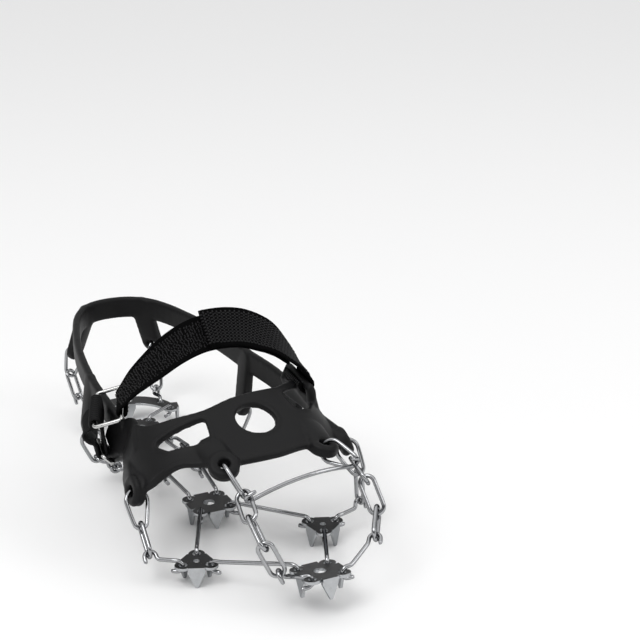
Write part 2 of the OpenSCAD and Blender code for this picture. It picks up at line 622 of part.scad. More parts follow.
// The strap's end turns round a bar of radius r
function wrap_r(r) = r + strap_gap + strap_t / 2;
function wrap(centre, out, way, r, to) = [
    for (a = [0:to / 12:to]) centre + (out * cos(a) + way * sin(a)) * wrap_r(r)
];
strap_turn = 240;
ear_bar_at = arch_point(arch_end, strap_step) - arch_out(arch_end) * wrap_r(ear_bar_d / 2);
buckle_right = arch_point(0, 0) - arch_out(0) * wrap_r(wire_d / 2);
module hook_strap() color(weave) {
    steps = 24;
    over = [for (i = [0:steps - 1]) hook_start + (arch_end - hook_start) * i / steps];
    path = concat(
        [for (k = over) arch_point(k, strap_step)],
        wrap(ear_bar_at, arch_out(arch_end), arch_way(arch_end), ear_bar_d / 2, strap_turn)
    );
    ribbon(path, [for (i = [0:len(path) - 1]) arch_side(i < steps ? over[i] : arch_end)], strap_w, strap_t);
}
module pile_strap() color(weave) {
    steps = 24;
    under = [for (i = [1:steps]) pile_end * i / steps];
    turned = wrap(buckle_right, arch_out(0), -arch_way(0), wire_d / 2, strap_turn);
    path = concat([for (i = [len(turned) - 1:-1:0]) turned[i]], [for (k = under) arch_point(k, 0)]);
    first = len(turned);
    ribbon(path, [for (i = [0:len(path) - 1]) arch_side(i < first ? 0 : under[i - first])], strap_w, strap_t);
}

// Buckle ring, keeper and anchor ring on the outer side
BUCKLE_WAY = [0.9, -0.28, 0.34];
KEEPER_WAY = [0.05, -0.08, -0.95];
ANCHOR_SIDE = [0.2, 0.95, 0];
ANCHOR_WAY = [0.72, -0.1, -0.68];
ring_side = arch_side(0);
buckle_way = unit(square_to(BUCKLE_WAY, ring_side));
keeper_way = unit(KEEPER_WAY);
anchor_side = unit(square_to(ANCHOR_SIDE, keeper_way));
anchor_way = unit(square_to(ANCHOR_WAY, anchor_side));
buckle_left = buckle_right - buckle_way * buckle_len;
anchor_top = buckle_left + keeper_way * keeper_len;
anchor_drop = 6.5;
anchor_low = anchor_top + anchor_way * anchor_drop;
ring_corner = 1.8;
// Wire ring with rounded corners round two bars at local x = 0 and x = length
module bar_ring(origin, way, side, length, half_w) place(origin, way, cross(way, side)) {
    for (x = [0, length]) wire([x, ring_corner - half_w, 0], [x, half_w - ring_corner, 0]);
    for (y = [-half_w, half_w]) wire([ring_corner, y, 0], [length - ring_corner, y, 0]);
    for (x = [0, 1], y = [0, 1])
        translate([x ? length - ring_corner : ring_corner, (y ? 1 : -1) * (half_w - ring_corner), 0])
            rotate(x ? (y ? 0 : 270) : (y ? 90 : 180)) turn(ring_corner, 90);
}
ring_half_w = strap_w / 2 + 2 * strap_gap + wire_d / 2 + ring_corner;
module buckle_ring() color(steel) bar_ring(buckle_left, buckle_way, ring_side, buckle_len, ring_half_w);
module anchor_ring() color(steel) bar_ring(anchor_top, anchor_way, anchor_side, anchor_drop, ring_half_w);
// Half turn of the keeper round a bar, from its outer run to its inner run, and the straight piece beside it
keeper_lead = 4;
function keeper_turn(centre, side, way) =
    let (out = unit(cross(keeper_way, side)))
    [for (a = [0:15:180]) centre + (out * cos(a) + way * sin(a)) * wrap_r(wire_d / 2)];
module keeper_webbing() color(weave) {
    low = keeper_turn(anchor_top, anchor_side, keeper_way);
    high = keeper_turn(buckle_left, ring_side, -unit(square_to(keeper_way, ring_side)));
    last = len(low) - 1;
    down = unit(square_to(keeper_way, ring_side)) * keeper_lead;
    up = -keeper_way * keeper_lead;
    path = concat(
        [low[0] + up], low, [low[last] + up, high[last] + down],
        [for (i = [last:-1:0]) high[i]], [high[0] + down]
    );
    sides = [for (i = [0:len(path) - 1]) i <= last + 2 ? anchor_side : ring_side];
    ribbon(path, sides, strap_w, strap_t, true);
}

// Harness: edges of the toe panel by angle round the foot
PANEL_FROM = 14;
PANEL_TO = 156;
PANEL_FRONT = [
    [14, -58], [26, -67], [36, -70.5], [49, -74], [58, -79.5], [69, -85.5], [82, -88], [95, -88], [108, -85],
    [121, -82], [134, -79], [146, -70], [156, -58]
];
PANEL_REAR = [
    [14, -12], [24, -13], [31, -24], [38, -35], [46, -42], [56, -47], [75, -52], [92, -48.5], [110, -45],
    [120, -40], [128, -35], [137, -27], [146, -17], [156, -14]
];
panel_columns = 46;
panel_rows = 8;
edge_round = 0.9;
function panel_angle(i) = PANEL_FROM + (PANEL_TO - PANEL_FROM) * i / panel_columns;
function panel_y(a, j, inset) =
    let (f = curve(PANEL_FRONT, a) + inset, r = curve(PANEL_REAR, a) - inset) f + (r - f) * j / panel_rows;
// Layers of the panel from the foot outwards: height and how far the edge is drawn in
PANEL_LAYERS = [[0, edge_round], [edge_round, 0], [panel_t - edge_round, 0], [panel_t, edge_round]];
module panel() {
    rows = panel_rows + 1;
    cols = panel_columns + 1;
    face = rows * cols;
    function at(layer, i, j) = layer * face + i * rows + j;
    points = [
        for (layer = PANEL_LAYERS, i = [0:panel_columns], j = [0:panel_rows])
            on_foot(panel_angle(i), panel_y(panel_angle(i), j, layer[1]), layer[0])
    ];
    top = len(PANEL_LAYERS) - 1;
    skins = [
        for (i = [0:panel_columns - 1], j = [0:panel_rows - 1])
            for (tri = [
                [at(0, i, j), at(0, i + 1, j), at(0, i, j + 1)],
                [at(0, i + 1, j), at(0, i + 1, j + 1), at(0, i, j + 1)],
                [at(top, i, j), at(top, i, j + 1), at(top, i + 1, j)],
                [at(top, i + 1, j), at(top, i, j + 1), at(top, i + 1, j + 1)]
            ]) tri
    ];
    rim = concat(
        [for (i = [0:panel_columns - 1]) [i, 0, i + 1, 0]],
        [for (j = [0:panel_rows - 1]) [panel_columns, j, panel_columns, j + 1]],
        [for (i = [panel_columns:-1:1]) [i, panel_rows, i - 1, panel_rows]],
        [for (j = [panel_rows:-1:1]) [0, j, 0, j - 1]]
    );
    edges = [
        for (layer = [0:top - 1], e = rim)
            for (tri = [
                [at(layer, e[0], e[1]), at(layer + 1, e[0], e[1]), at(layer, e[2], e[3])],
                [at(layer, e[2], e[3]), at(layer + 1, e[0], e[1]), at(layer + 1, e[2], e[3])]
            ]) tri
    ];
    polyhedron(points, concat(skins, edges));
}

// Windows of the panel: corners as angle and place, the corners' radius, and the way that the window is cut
OUTER_WINDOW = [[46.8, -55.6], [50.4, -61.4], [69.4, -69.5], [71.6, -58.6], [53.9, -56.6]];
CROWN_WINDOW = [[92.4, -64.6]];
INNER_WINDOW = [[115, -49.5], [128.5, -42], [131.5, -45.5], [123.5, -54.5], [117, -56]];
outer_window_r = 1.8;
crown_window_r = 9.9;
inner_window_r = 2.4;
INNER_WINDOW_WAY = [-0.1, -0.75, 0.65];
function window_middle(corners, axis) =
    path_sum([for (c = corners) [c[axis], 0, 0]], len(corners) - 1).x / len(corners);
function window_out(corners) = foot_out(window_middle(corners, 0), window_middle(corners, 1));
module window(corners, r, way) hull() for (c = corners)
    place(on_foot(c[0], c[1], panel_t) - unit(way) * 3 * panel_t, way, BACK)
        rotate([0, 90, 0]) cylinder(r = r, h = 5 * panel_t, $fn = 40);

// Band round the heel, from the outer ear to the inner ear
BAND = [
    [-45.5, -20, 52], [-45.7, 5, 55], [-45, 33, 58.5], [-40, 68, 60.5], [-32, 100, 61.5], [-23, 124, 62.5],
    [-12, 137, 63], [2, 141, 63], [16, 137, 63], [27, 124, 62.5], [35, 100, 61.5],
    [41, 68, 60.5], [44, 33, 59], [48, 5, 57],
    [50, -23, 53.5]
];
BAND_WAIST_OUTER = 2;
BAND_HEEL_OUTER = 5.7;
BAND_HEEL_INNER = 8.3;
BAND_WAIST_INNER = 12;
band_steps = 60;
band_edge = 1.2;
band_path = smooth_path(BAND, band_steps);
function band_out(i) =
    let (t = ribbon_way(band_path, i, false)) unit(cross(t, UP)) * -1;
// Band section, from the foot outwards, with its edges rounded
BAND_SECTION = [
    [0, band_h / 2 - band_edge], [band_edge, band_h / 2], [band_t - band_edge, band_h / 2],
    [band_t, band_h / 2 - band_edge], [band_t, band_edge - band_h / 2], [band_t - band_edge, -band_h / 2],
    [band_edge, -band_h / 2], [0, band_edge - band_h / 2]
];
module band() {
    m = len(BAND_SECTION);
    points = [
        for (i = [0:band_steps], c = BAND_SECTION)
            band_path[i] + band_out(i) * (c[0] - band_t / 2) + UP * c[1]
    ];
    walls = [
        for (i = [0:band_steps - 1], c = [0:m - 1])
            let (a = m * i + c, b = m * i + (c + 1) % m)
            for (tri = [[a, b, a + m], [b, b + m, a + m]]) tri
    ];
    ends = [
        for (c = [1:m - 2])
            for (tri = [[0, c + 1, c], [m * band_steps, m * band_steps + c, m * band_steps + c + 1]]) tri
    ];
    polyhedron(points, concat(walls, ends));
}

// A lug runs from its root in the harness to a rounded tip round its eye
module disc(at, axis, r, h) place(at, axis, steady(axis) == UP ? UP : BACK) rotate([0, 90, 0])
    cylinder(r = r, h = h, center = true, $fn = 20);
module lug(eye, axis, root, root_axis, root_t) hull() {
    disc(eye, axis, lug_r, lug_t - 2 * edge_round);
    disc(eye, axis, lug_r - edge_round, lug_t);
    disc(root, root_axis, lug_r, root_t);
}
module eye_hole(eye, axis) disc(eye, axis, eye_d / 2, 2 * lug_t);
lug_root = 13;
function front_axis(c, at) = unit(square_to(is_undef(at[2]) ? lug_out(c, at) : at[2], unit(c[1] - c[0])));
module front_lug(c, at) lug(
    c[0], front_axis(c, at), on_foot(at[0], at[1] + lug_root, panel_t / 2),
    foot_out(at[0], at[1] + lug_root), panel_t
);
function waist_axis(s) = unit(cross(waist_eye(s) - ladder_tip(s), mid_way(s)));
function heel_axis(s) = unit(square_to(heel_link_out(s), heel_way(s, 2)));
module band_lug(eye, axis, k) lug(eye, axis, on_path(BAND, k), square_to(axis, UP), band_t);

// Slot in the inner ear with the bar for the hook strap
ear_side = arch_side(arch_end);
ear_bar_len = strap_w + 8;
slot_r = wrap_r(ear_bar_d / 2) + strap_t / 2 + 2 * strap_gap;
module along_ear(r, length)
    place(ear_bar_at, ear_side, UP) rotate([0, 90, 0]) cylinder(r = r, h = length, center = true);

// Block on the outer ear that holds the anchor ring
anchor_block_w = 9;
anchor_block_r = 3;
ANCHOR_ROOT = [17, -20];
module anchor_block() difference() {
    hull() {
        place(anchor_low, anchor_side, UP)
            rotate([0, 90, 0]) cylinder(r = anchor_block_r, h = anchor_block_w, center = true);
        disc(
            on_foot(ANCHOR_ROOT[0], ANCHOR_ROOT[1], panel_t / 2), foot_out(ANCHOR_ROOT[0], ANCHOR_ROOT[1]),
            lug_r, panel_t
        );
    }
    place(anchor_low, anchor_side, UP) rotate([0, 90, 0])
        cylinder(d = wire_d + 2 * strap_gap, h = 3 * anchor_block_w, center = true);
}
// Arms from the ends of the ear's bar to the panel
EAR_ARMS = [[-1, [140, -45]], [1, [146, -19]]];
module ear_arm(end, at) hull() {
    translate(ear_bar_at + ear_side * end * ear_bar_len / 2) sphere(d = ear_bar_d, $fn = 16);
    disc(on_foot(at[0], at[1], panel_t / 2), foot_out(at[0], at[1]), 3, panel_t);
}
module harness() color(rubber) difference() {
    union() {
        difference() {
            panel();
            window(OUTER_WINDOW, outer_window_r, window_out(OUTER_WINDOW));
            window(CROWN_WINDOW, crown_window_r, window_out(CROWN_WINDOW));
            window(INNER_WINDOW, inner_window_r, INNER_WINDOW_WAY);
            along_ear(slot_r, strap_w + 2 * strap_gap + 2);
        }
        band();
        along_ear(ear_bar_d / 2, ear_bar_len);
        for (arm = EAR_ARMS) ear_arm(arm[0], arm[1]);
        front_lug(outer_side, LUG_L1);
        front_lug(outer_toe, LUG_L2);
        front_lug(inner_toe, LUG_L3);
        front_lug(inner_side, LUG_L4);
        band_lug(waist_eye(OUTER), waist_axis(OUTER), BAND_WAIST_OUTER);
        band_lug(waist_eye(INNER), waist_axis(INNER), BAND_WAIST_INNER);
        band_lug(heel_lug_eye(OUTER), heel_axis(OUTER), BAND_HEEL_OUTER);
        band_lug(heel_lug_eye(INNER), heel_axis(INNER), BAND_HEEL_INNER);
        anchor_block();
    }
    eye_hole(outer_side[0], front_axis(outer_side, LUG_L1));
    eye_hole(outer_toe[0], front_axis(outer_toe, LUG_L2));
    eye_hole(inner_toe[0], front_axis(inner_toe, LUG_L3));
    eye_hole(inner_side[0], front_axis(inner_side, LUG_L4));
    for (s = [OUTER, INNER]) {
        eye_hole(waist_eye(s), waist_axis(s));
        eye_hole(heel_lug_eye(s), heel_axis(s));
    }
}

// The origin lies under the middle of the whole cleat
ORIGIN_SHIFT = [0.2, -0.3, 0];
module shifted() translate(ORIGIN_SHIFT) children();

shifted() harness();
shifted() hook_strap();
shifted() pile_strap();
shifted() buckle_ring();
shifted() keeper_webbing();
shifted() anchor_ring();
shifted() toe_plate();
shifted() side_plate(OUTER);  // outer_plate
shifted() side_plate(INNER);  // inner_plate
shifted() ball_plate();
shifted() arch_plate();
shifted() heel_plate();
shifted() toe_link(OUTER);  // toe_link_outer
shifted() toe_link(INNER);  // toe_link_inner
shifted() ball_link(OUTER);  // ball_link_outer
shifted() ball_link(INNER);  // ball_link_inner
shifted() toe_spreader();
shifted() chain_loop(outer_side, LUG_L1);  // side_loop_outer
shifted() chain_oval(outer_side, 1);  // side_oval_outer
shifted() side_hook(outer_side, OUTER);  // side_hook_outer
shifted() chain_loop(inner_side, LUG_L4);  // side_loop_inner
shifted() chain_oval(inner_side, 1);  // side_oval_inner
shifted() side_hook(inner_side, INNER);  // side_hook_inner
shifted() chain_loop(outer_toe, LUG_L2);  // toe_loop_outer
shifted() chain_oval(outer_toe, 1);  // toe_oval_outer_1
shifted() chain_oval(outer_toe, 2);  // toe_oval_outer_2
shifted() chain_oval(outer_toe, 3);  // toe_oval_outer_3
shifted() toe_hook(outer_toe, OUTER);  // toe_hook_outer
shifted() chain_loop(inner_toe, LUG_L3);  // toe_loop_inner
shifted() chain_oval(inner_toe, 1);  // toe_oval_inner_1
shifted() chain_oval(inner_toe, 2);  // toe_oval_inner_2
shifted() chain_oval(inner_toe, 3);  // toe_oval_inner_3
shifted() toe_hook(inner_toe, INNER);  // toe_hook_inner
shifted() mid_hook(OUTER);  // mid_hook_outer
shifted() mid_oval(OUTER, 1);  // mid_oval_outer_1
shifted() mid_oval(OUTER, 2);  // mid_oval_outer_2
shifted() mid_oval(OUTER, 3);  // mid_oval_outer_3
shifted() arch_hook(OUTER);  // arch_hook_outer
shifted() mid_hook(INNER);  // mid_hook_inner
shifted() mid_oval(INNER, 1);  // mid_oval_inner_1
shifted() mid_oval(INNER, 2);  // mid_oval_inner_2
shifted() mid_oval(INNER, 3);  // mid_oval_inner_3
shifted() arch_hook(INNER);  // arch_hook_inner
shifted() ladder(OUTER, 0);  // ladder_outer_1
shifted() ladder(OUTER, 1);  // ladder_outer_2
shifted() ladder_end(OUTER);  // ladder_end_outer
shifted() waist_ring(OUTER);  // waist_ring_outer
shifted() ladder(INNER, 0);  // ladder_inner_1
shifted() ladder(INNER, 1);  // ladder_inner_2
shifted() ladder_end(INNER);  // ladder_end_inner
shifted() waist_ring(INNER);  // waist_ring_inner
shifted() heel_link(OUTER);  // heel_link_outer
shifted() heel_link(INNER);  // heel_link_inner
shifted() heel_hook(OUTER);  // heel_hook_outer
shifted() heel_oval(OUTER);  // heel_oval_outer
shifted() heel_ring(OUTER);  // heel_ring_outer
shifted() heel_hook(INNER);  // heel_hook_inner
shifted() heel_oval(INNER);  // heel_oval_inner
shifted() heel_ring(INNER);  // heel_ring_inner
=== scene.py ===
"""Chain ice cleat: harness, straps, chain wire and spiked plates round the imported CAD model."""
import json
import math
import random

import bmesh
import bpy
import numpy as np
from mathutils import Matrix, Vector, bvhtree


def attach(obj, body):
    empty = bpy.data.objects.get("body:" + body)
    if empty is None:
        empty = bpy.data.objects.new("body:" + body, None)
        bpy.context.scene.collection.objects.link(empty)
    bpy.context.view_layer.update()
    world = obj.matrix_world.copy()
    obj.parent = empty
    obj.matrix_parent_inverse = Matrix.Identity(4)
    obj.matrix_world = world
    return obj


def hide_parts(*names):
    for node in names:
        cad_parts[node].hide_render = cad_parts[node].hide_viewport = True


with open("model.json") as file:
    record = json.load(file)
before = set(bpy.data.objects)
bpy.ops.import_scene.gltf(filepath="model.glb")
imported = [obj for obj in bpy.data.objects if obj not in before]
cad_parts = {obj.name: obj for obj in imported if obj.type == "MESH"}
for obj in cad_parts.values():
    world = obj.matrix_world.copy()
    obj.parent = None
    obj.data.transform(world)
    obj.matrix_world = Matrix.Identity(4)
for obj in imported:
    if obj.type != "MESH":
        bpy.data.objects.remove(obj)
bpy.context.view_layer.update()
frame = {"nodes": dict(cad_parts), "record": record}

bl_info = {
    "name": "Chain ice cleat",
    "version": (1, 0, 0),
    "blender": (4, 5, 0),
    "location": "3D View > Sidebar > Ice cleat",
    "description": "Builds the looks of a chain ice cleat on its CAD frame",
    "category": "Object",
}

MM = 0.001
# The CAD model stands this far from the layout's own origin, in millimetres
ORIGIN_SHIFT = np.array([0.2, -0.3, 0.0])
UP = np.array([0.0, 0.0, 1.0])

# Nodes whose wire is swept with eight sides in the CAD model and is made round here
SWEPT_WIRE = (
    "side_loop", "toe_loop", "waist_ring", "heel_ring", "side_hook", "toe_hook",
    "heel_hook", "toe_link", "toe_spreader", "ladder",
)
PLATES = ("toe_plate", "outer_plate", "inner_plate", "ball_plate", "arch_plate", "heel_plate")
RINGS = ("buckle_ring", "anchor_ring")
SOFT = ("harness", "hook_strap", "pile_strap", "keeper_webbing")


# Plain helpers


def unit(v):
    v = np.asarray(v, float)
    return v / np.linalg.norm(v)


def square_to(v, n):
    return np.asarray(v, float) - np.asarray(n) * np.dot(v, n)


def curve(knots, x):
    """Smooth curve through (x, value) knots; values are numbers or points."""
    at = [k[0] for k in knots]
    value = [np.asarray(k[1], float) for k in knots]
    last = len(knots) - 1

    def slope(i):
        a, b = max(i - 1, 0), min(i + 1, last)
        return (value[b] - value[a]) / (at[b] - at[a])

    i = 0
    while i < last - 1 and x >= at[i + 1]:
        i += 1
    w = at[i + 1] - at[i]
    s = min(max((x - at[i]) / w, 0), 1)
    h = s * s * (3 - 2 * s)
    bend = slope(i) * (1 - s) - slope(i + 1) * s
    return value[i] * (1 - h) + value[i + 1] * h + bend * w * s * (1 - s)


def on_path(points, k):
    return curve(list(enumerate(points)), k)


def in_frame(points):
    """Layout millimetres to metres in the CAD frame."""
    return (np.asarray(points, float) + ORIGIN_SHIFT) * MM


def linear(hex_colour):
    """sRGB hex to a linear colour with alpha."""
    parts = [int(hex_colour[i:i + 2], 16) / 255 for i in (1, 3, 5)]
    return [c / 12.92 if c <= 0.04045 else ((c + 0.055) / 1.055) ** 2.4 for c in parts] + [1.0]


def hex_prop(name, description, hex_colour):
    return bpy.props.FloatVectorProperty(
        name=name, description=description, subtype="COLOR", size=4, min=0, max=1,
        default=linear(hex_colour),
    )


def size_prop(name, description, mm):
    return bpy.props.FloatProperty(
        name=name, description=description, default=mm * MM, min=0, unit="LENGTH",
    )


class CleatSizes(bpy.types.PropertyGroup):
    """Sizes of the fine forms that the CAD model leaves out."""

    lip_r: size_prop("Window lip", "Radius of the raised lip round each window of the panel", 1.0)
    bead_r: size_prop("Front bead", "Radius of the bead along the panel's front edge", 1.8)
    voxel: size_prop("Rubber grain", "Voxel that the harness is melted together with", 0.75)
    edge_round: size_prop("Plate edge", "Rounding of the plates' stamped edges", 0.22)
    weave_along: size_prop("Weave along", "Spacing of the hook strap's knuckles along it", 2.1)
    weave_across: size_prop("Weave across", "Spacing of the hook strap's knuckles across it", 1.75)
    loop_pitch: size_prop("Loop spacing", "Spacing of the rows of loops on the pile strap", 1.45)
    rib_pitch: size_prop("Rib spacing", "Spacing of the ribs along the keeper", 1.5)


class CleatColours(bpy.types.PropertyGroup):
    """Colours of the finishes."""

    rubber: hex_prop("Rubber", "Moulded rubber of the harness", "#0f0f10")
    weave: hex_prop("Weave", "Yarn of the hook strap", "#1c1c1d")
    pile: hex_prop("Pile", "Loops of the pile strap", "#1b1b1c")
    webbing: hex_prop("Webbing", "Yarn of the keeper", "#101011")
    wire: hex_prop("Wire", "Polished chain wire", "#a6a7a9")
    ring: hex_prop("Ring", "Nickel of the strap rings", "#c4c4c3")
    plate: hex_prop("Plate", "Zinc of the plates", "#b9bbbd")
    # Plate top: painted shade and dark reflection of the sole, laid on each plate's upper face
    painted_plate_top: hex_prop("Plate top", "Upper face of each plate, painted with the sole's shade and dark reflection", "#0d0d0e")
    floor: hex_prop("Floor", "Pale floor", "#f6f6f6")


# Materials


# Places of a colour mix node's two colours among its inputs, and of its colour among its outputs
MIX_A, MIX_B, MIX_OUT = 6, 7, 2


def add(tree, kind, inputs=None, **settings):
    """Adds a node; an input is set to a value or linked from another node's socket."""
    node = tree.nodes.new(kind)
    for key, value in settings.items():
        setattr(node, key, value)
    for key, value in (inputs or {}).items():
        if isinstance(value, bpy.types.NodeSocket):
            tree.links.new(value, node.inputs[key])
        else:
            node.inputs[key].default_value = value
    return node


def surface(name, constants):
    """New material with a Principled shader; constants go on the shader's own sockets."""
    material = bpy.data.materials.new(name)
    material.use_nodes = True
    tree = material.node_tree
    tree.nodes.clear()
    shader = add(tree, "ShaderNodeBsdfPrincipled", constants)
    add(tree, "ShaderNodeOutputMaterial", {"Surface": shader.outputs[0]})
    place = add(tree, "ShaderNodeTexCoord").outputs["Object"]
    return material, tree, shader, place


def shade(colour, times):
    return [min(c * times, 1) for c in colour[:3]] + [1.0]


def per_metre(mm):
    """Texture scale that gives one feature in so many millimetres."""
    return 1 / (mm * MM)


def moulded_rubber(colours):
    """Thermoplastic rubber from a mould: matte charcoal, fine grain, faint cloudiness."""
    material, tree, shader, place = surface("moulded thermoplastic rubber", {"Specular IOR Level": 0.2})
    cloud = add(tree, "ShaderNodeTexNoise", {"Vector": place, "Scale": per_metre(18), "Detail": 3.0})
    dark, light = shade(colours.rubber, 0.82), shade(colours.rubber, 1.18)
    tones = {"Factor": cloud.outputs["Fac"], MIX_A: dark, MIX_B: light}
    tone = add(tree, "ShaderNodeMix", tones, data_type="RGBA")
    tree.links.new(tone.outputs[MIX_OUT], shader.inputs["Base Color"])
    rough = add(
        tree, "ShaderNodeMapRange", {"Value": cloud.outputs["Fac"], "To Min": 0.46, "To Max": 0.6}
    )
    tree.links.new(rough.outputs["Result"], shader.inputs["Roughness"])
    grain = add(tree, "ShaderNodeTexNoise", {"Vector": place, "Scale": per_metre(0.5), "Detail": 2.0})
    bump = add(
        tree, "ShaderNodeBump",
        {"Height": grain.outputs["Fac"], "Strength": 0.16, "Distance": 0.12 * MM},
    )
    tree.links.new(bump.outputs["Normal"], shader.inputs["Normal"])
    return material


def bright_metal(name, colour, rough, streak_mm, edge):
    """Bright metal: drawn or brushed streaks in its gloss, darker towards grazing edges."""
    material, tree, shader, place = surface(
        name, {"Metallic": 1.0, "Specular Tint": linear(edge), "Base Color": colour}
    )
    streaks = add(
        tree, "ShaderNodeTexNoise", {"Vector": place, "Scale": per_metre(streak_mm), "Detail": 4.0}
    )
    tones = {"Factor": streaks.outputs["Fac"], MIX_A: shade(colour, 0.8), MIX_B: shade(colour, 1.12)}
    tone = add(tree, "ShaderNodeMix", tones, data_type="RGBA")
    tree.links.new(tone.outputs[MIX_OUT], shader.inputs["Base Color"])
    gloss = add(
        tree, "ShaderNodeMapRange",
        {"Value": streaks.outputs["Fac"], "To Min": rough * 0.7, "To Max": rough * 1.35},
    )
    tree.links.new(gloss.outputs["Result"], shader.inputs["Roughness"])
    bump = add(
        tree, "ShaderNodeBump",
        {"Height": streaks.outputs["Fac"], "Strength": 0.12, "Distance": 0.08 * MM},
    )
    tree.links.new(bump.outputs["Normal"], shader.inputs["Normal"])
    return material


def yarn(name, colour, thread_mm, rough, gloss):
    """Nylon yarn: fine threads, worn pale here and there."""
    material, tree, shader, place = surface(name, {"Roughness": rough, "Specular IOR Level": gloss})
    threads = add(
        tree, "ShaderNodeTexNoise", {"Vector": place, "Scale": per_metre(thread_mm), "Detail": 2.0}
    )
    tones = {"Factor": threads.outputs["Fac"], MIX_A: shade(colour, 0.6), MIX_B: shade(colour, 1.6)}
    tone = add(tree, "ShaderNodeMix", tones, data_type="RGBA")
    tree.links.new(tone.outputs[MIX_OUT], shader.inputs["Base Color"])
    bump = add(
        tree, "ShaderNodeBump",
        {"Height": threads.outputs["Fac"], "Strength": 0.5, "Distance": 0.15 * MM},
    )
    tree.links.new(bump.outputs["Normal"], shader.inputs["Normal"])
    return material


def painted_top_steel(colours):
    """Steel top painted near black as the sole's shade and dark reflection: satin, slightly blotched."""
    material, tree, shader, place = surface("steel with painted sole shade", {"Specular IOR Level": 0.5})
    blotch = add(tree, "ShaderNodeTexNoise", {"Vector": place, "Scale": per_metre(3), "Detail": 4.0})
    dark, light = shade(colours.painted_plate_top, 0.6), shade(colours.painted_plate_top, 1.6)
    tones = {"Factor": blotch.outputs["Fac"], MIX_A: dark, MIX_B: light}
    tone = add(tree, "ShaderNodeMix", tones, data_type="RGBA")
    tree.links.new(tone.outputs[MIX_OUT], shader.inputs["Base Color"])
    gloss = add(
        tree, "ShaderNodeMapRange", {"Value": blotch.outputs["Fac"], "To Min": 0.3, "To Max": 0.5}
    )
    tree.links.new(gloss.outputs["Result"], shader.inputs["Roughness"])
    return material


def plain_floor(colours):
    """Smooth pale paint, nearly matt."""
    constants = {"Roughness": 0.9, "Specular IOR Level": 0.1, "Base Color": colours.floor}
    return surface("pale floor", constants)[0]


# Mesh helpers


def new_object(name, mesh):
    obj = bpy.data.objects.new(name, mesh)
    bpy.context.scene.collection.objects.link(obj)
    return obj


def mesh_from(name, points, faces):
    mesh = bpy.data.meshes.new(name)
    mesh.from_pydata([tuple(p) for p in points], [], faces)
    mesh.update()
    return mesh


def smooth(mesh):
    mesh.polygons.foreach_set("use_smooth", [True] * len(mesh.polygons))
    mesh.update()


def cad_copy(node, name, quads=False):
    """Merged copy of a CAD node's mesh, with its wall triangles paired where it is swept."""
    mesh = frame["nodes"][node].data.copy()
    mesh.materials.clear()
    for attribute in [a.name for a in mesh.attributes if a.name.startswith("custom_normal")]:
        mesh.attributes.remove(mesh.attributes[attribute])
    bm = bmesh.new()
    bm.from_mesh(mesh)
    bmesh.ops.remove_doubles(bm, verts=bm.verts, dist=2e-6)
    if quads:
        bmesh.ops.join_triangles(
            bm, faces=bm.faces, angle_face_threshold=0.9, angle_shape_threshold=3.1
        )
    bm.to_mesh(mesh)
    bm.free()
    return new_object(name, mesh)


def baked(obj, material=None):
    """Turns an object's evaluated modifiers into its plain mesh."""
    depsgraph = bpy.context.evaluated_depsgraph_get()
    mesh = bpy.data.meshes.new_from_object(obj.evaluated_get(depsgraph))
    obj.modifiers.clear()
    obj.data = mesh
    if material:
        mesh.materials.clear()
        mesh.materials.append(material)
    return obj


def joined(name, objects):
    """One object from several, all at the origin."""
    bm = bmesh.new()
    for obj in objects:
        bm.from_mesh(obj.data)
        bpy.data.objects.remove(obj)
    mesh = bpy.data.meshes.new(name)
    bm.to_mesh(mesh)
    bm.free()
    return new_object(name, mesh)


def finish_piece(obj, body, nodes):
    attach(obj, body)
    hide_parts(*nodes)
    return obj


def ring_sweep(name, path, sides, section, closed=False):
    """Sweeps a section of (across, out) millimetres along a path; sides gives the way across."""
    count, m = len(path), len(section[0])
    points, faces = [], []
    for i in range(count):
        before = path[(i - 1) % count if closed else max(i - 1, 0)]
        after = path[(i + 1) % count if closed else min(i + 1, count - 1)]
        way = unit(after - before)
        side = unit(square_to(sides[i], way))
        out = np.cross(way, side)
        points += [path[i] + side * c[0] + out * c[1] for c in section[i]]
    for i in range(count if closed else count - 1):
        a, b = m * i, m * ((i + 1) % count)
        faces += [(a + k, b + k, b + (k + 1) % m, a + (k + 1) % m) for k in range(m)]
    if not closed:
        last = m * (count - 1)
        faces.append(tuple(range(m)))
        faces.append(tuple(last + k for k in reversed(range(m))))
    obj = new_object(name, mesh_from(name, in_frame(points), faces))
    bm = bmesh.new()
    bm.from_mesh(obj.data)
    bmesh.ops.recalc_face_normals(bm, faces=bm.faces)
    bm.to_mesh(obj.data)
    bm.free()
    return obj


def round_tube(name, path, r, closed=False, sides=10):
    angles = [2 * math.pi * k / sides for k in range(sides)]
    section = [(r * math.cos(a), r * math.sin(a)) for a in angles]
    ways = [unit(path[(i + 1) % len(path)] - path[i - 1]) for i in range(len(path))]
    across = [UP if abs(w[2]) < 0.9 else np.array([1.0, 0, 0]) for w in ways]
    return ring_sweep(name, path, across, [section] * len(path), closed)


# Geometry Nodes


def new_tree(name, sizes):
    """Empty node group with a geometry input, named sizes, a material and a geometry output."""
    tree = bpy.data.node_groups.new(name, "GeometryNodeTree")
    face = tree.interface
    face.new_socket("Geometry", in_out="INPUT", socket_type="NodeSocketGeometry")
    for label, kind in sizes:
        face.new_socket(label, in_out="INPUT", socket_type=kind)
    face.new_socket("Material", in_out="INPUT", socket_type="NodeSocketMaterial")
    face.new_socket("Geometry", in_out="OUTPUT", socket_type="NodeSocketGeometry")
    return tree, add(tree, "NodeGroupInput")


def end_tree(tree, given, geometry):
    """Every tree ends in real faces, smooth, with its material."""
    real = add(tree, "GeometryNodeRealizeInstances", {"Geometry": geometry})
    soft = add(tree, "GeometryNodeSetShadeSmooth", {"Geometry": real.outputs[0]})
    coat = given.outputs["Material"]
    coated = add(tree, "GeometryNodeSetMaterial", {"Geometry": soft.outputs[0], "Material": coat})
    add(tree, "NodeGroupOutput", {"Geometry": coated.outputs[0]})
    return tree


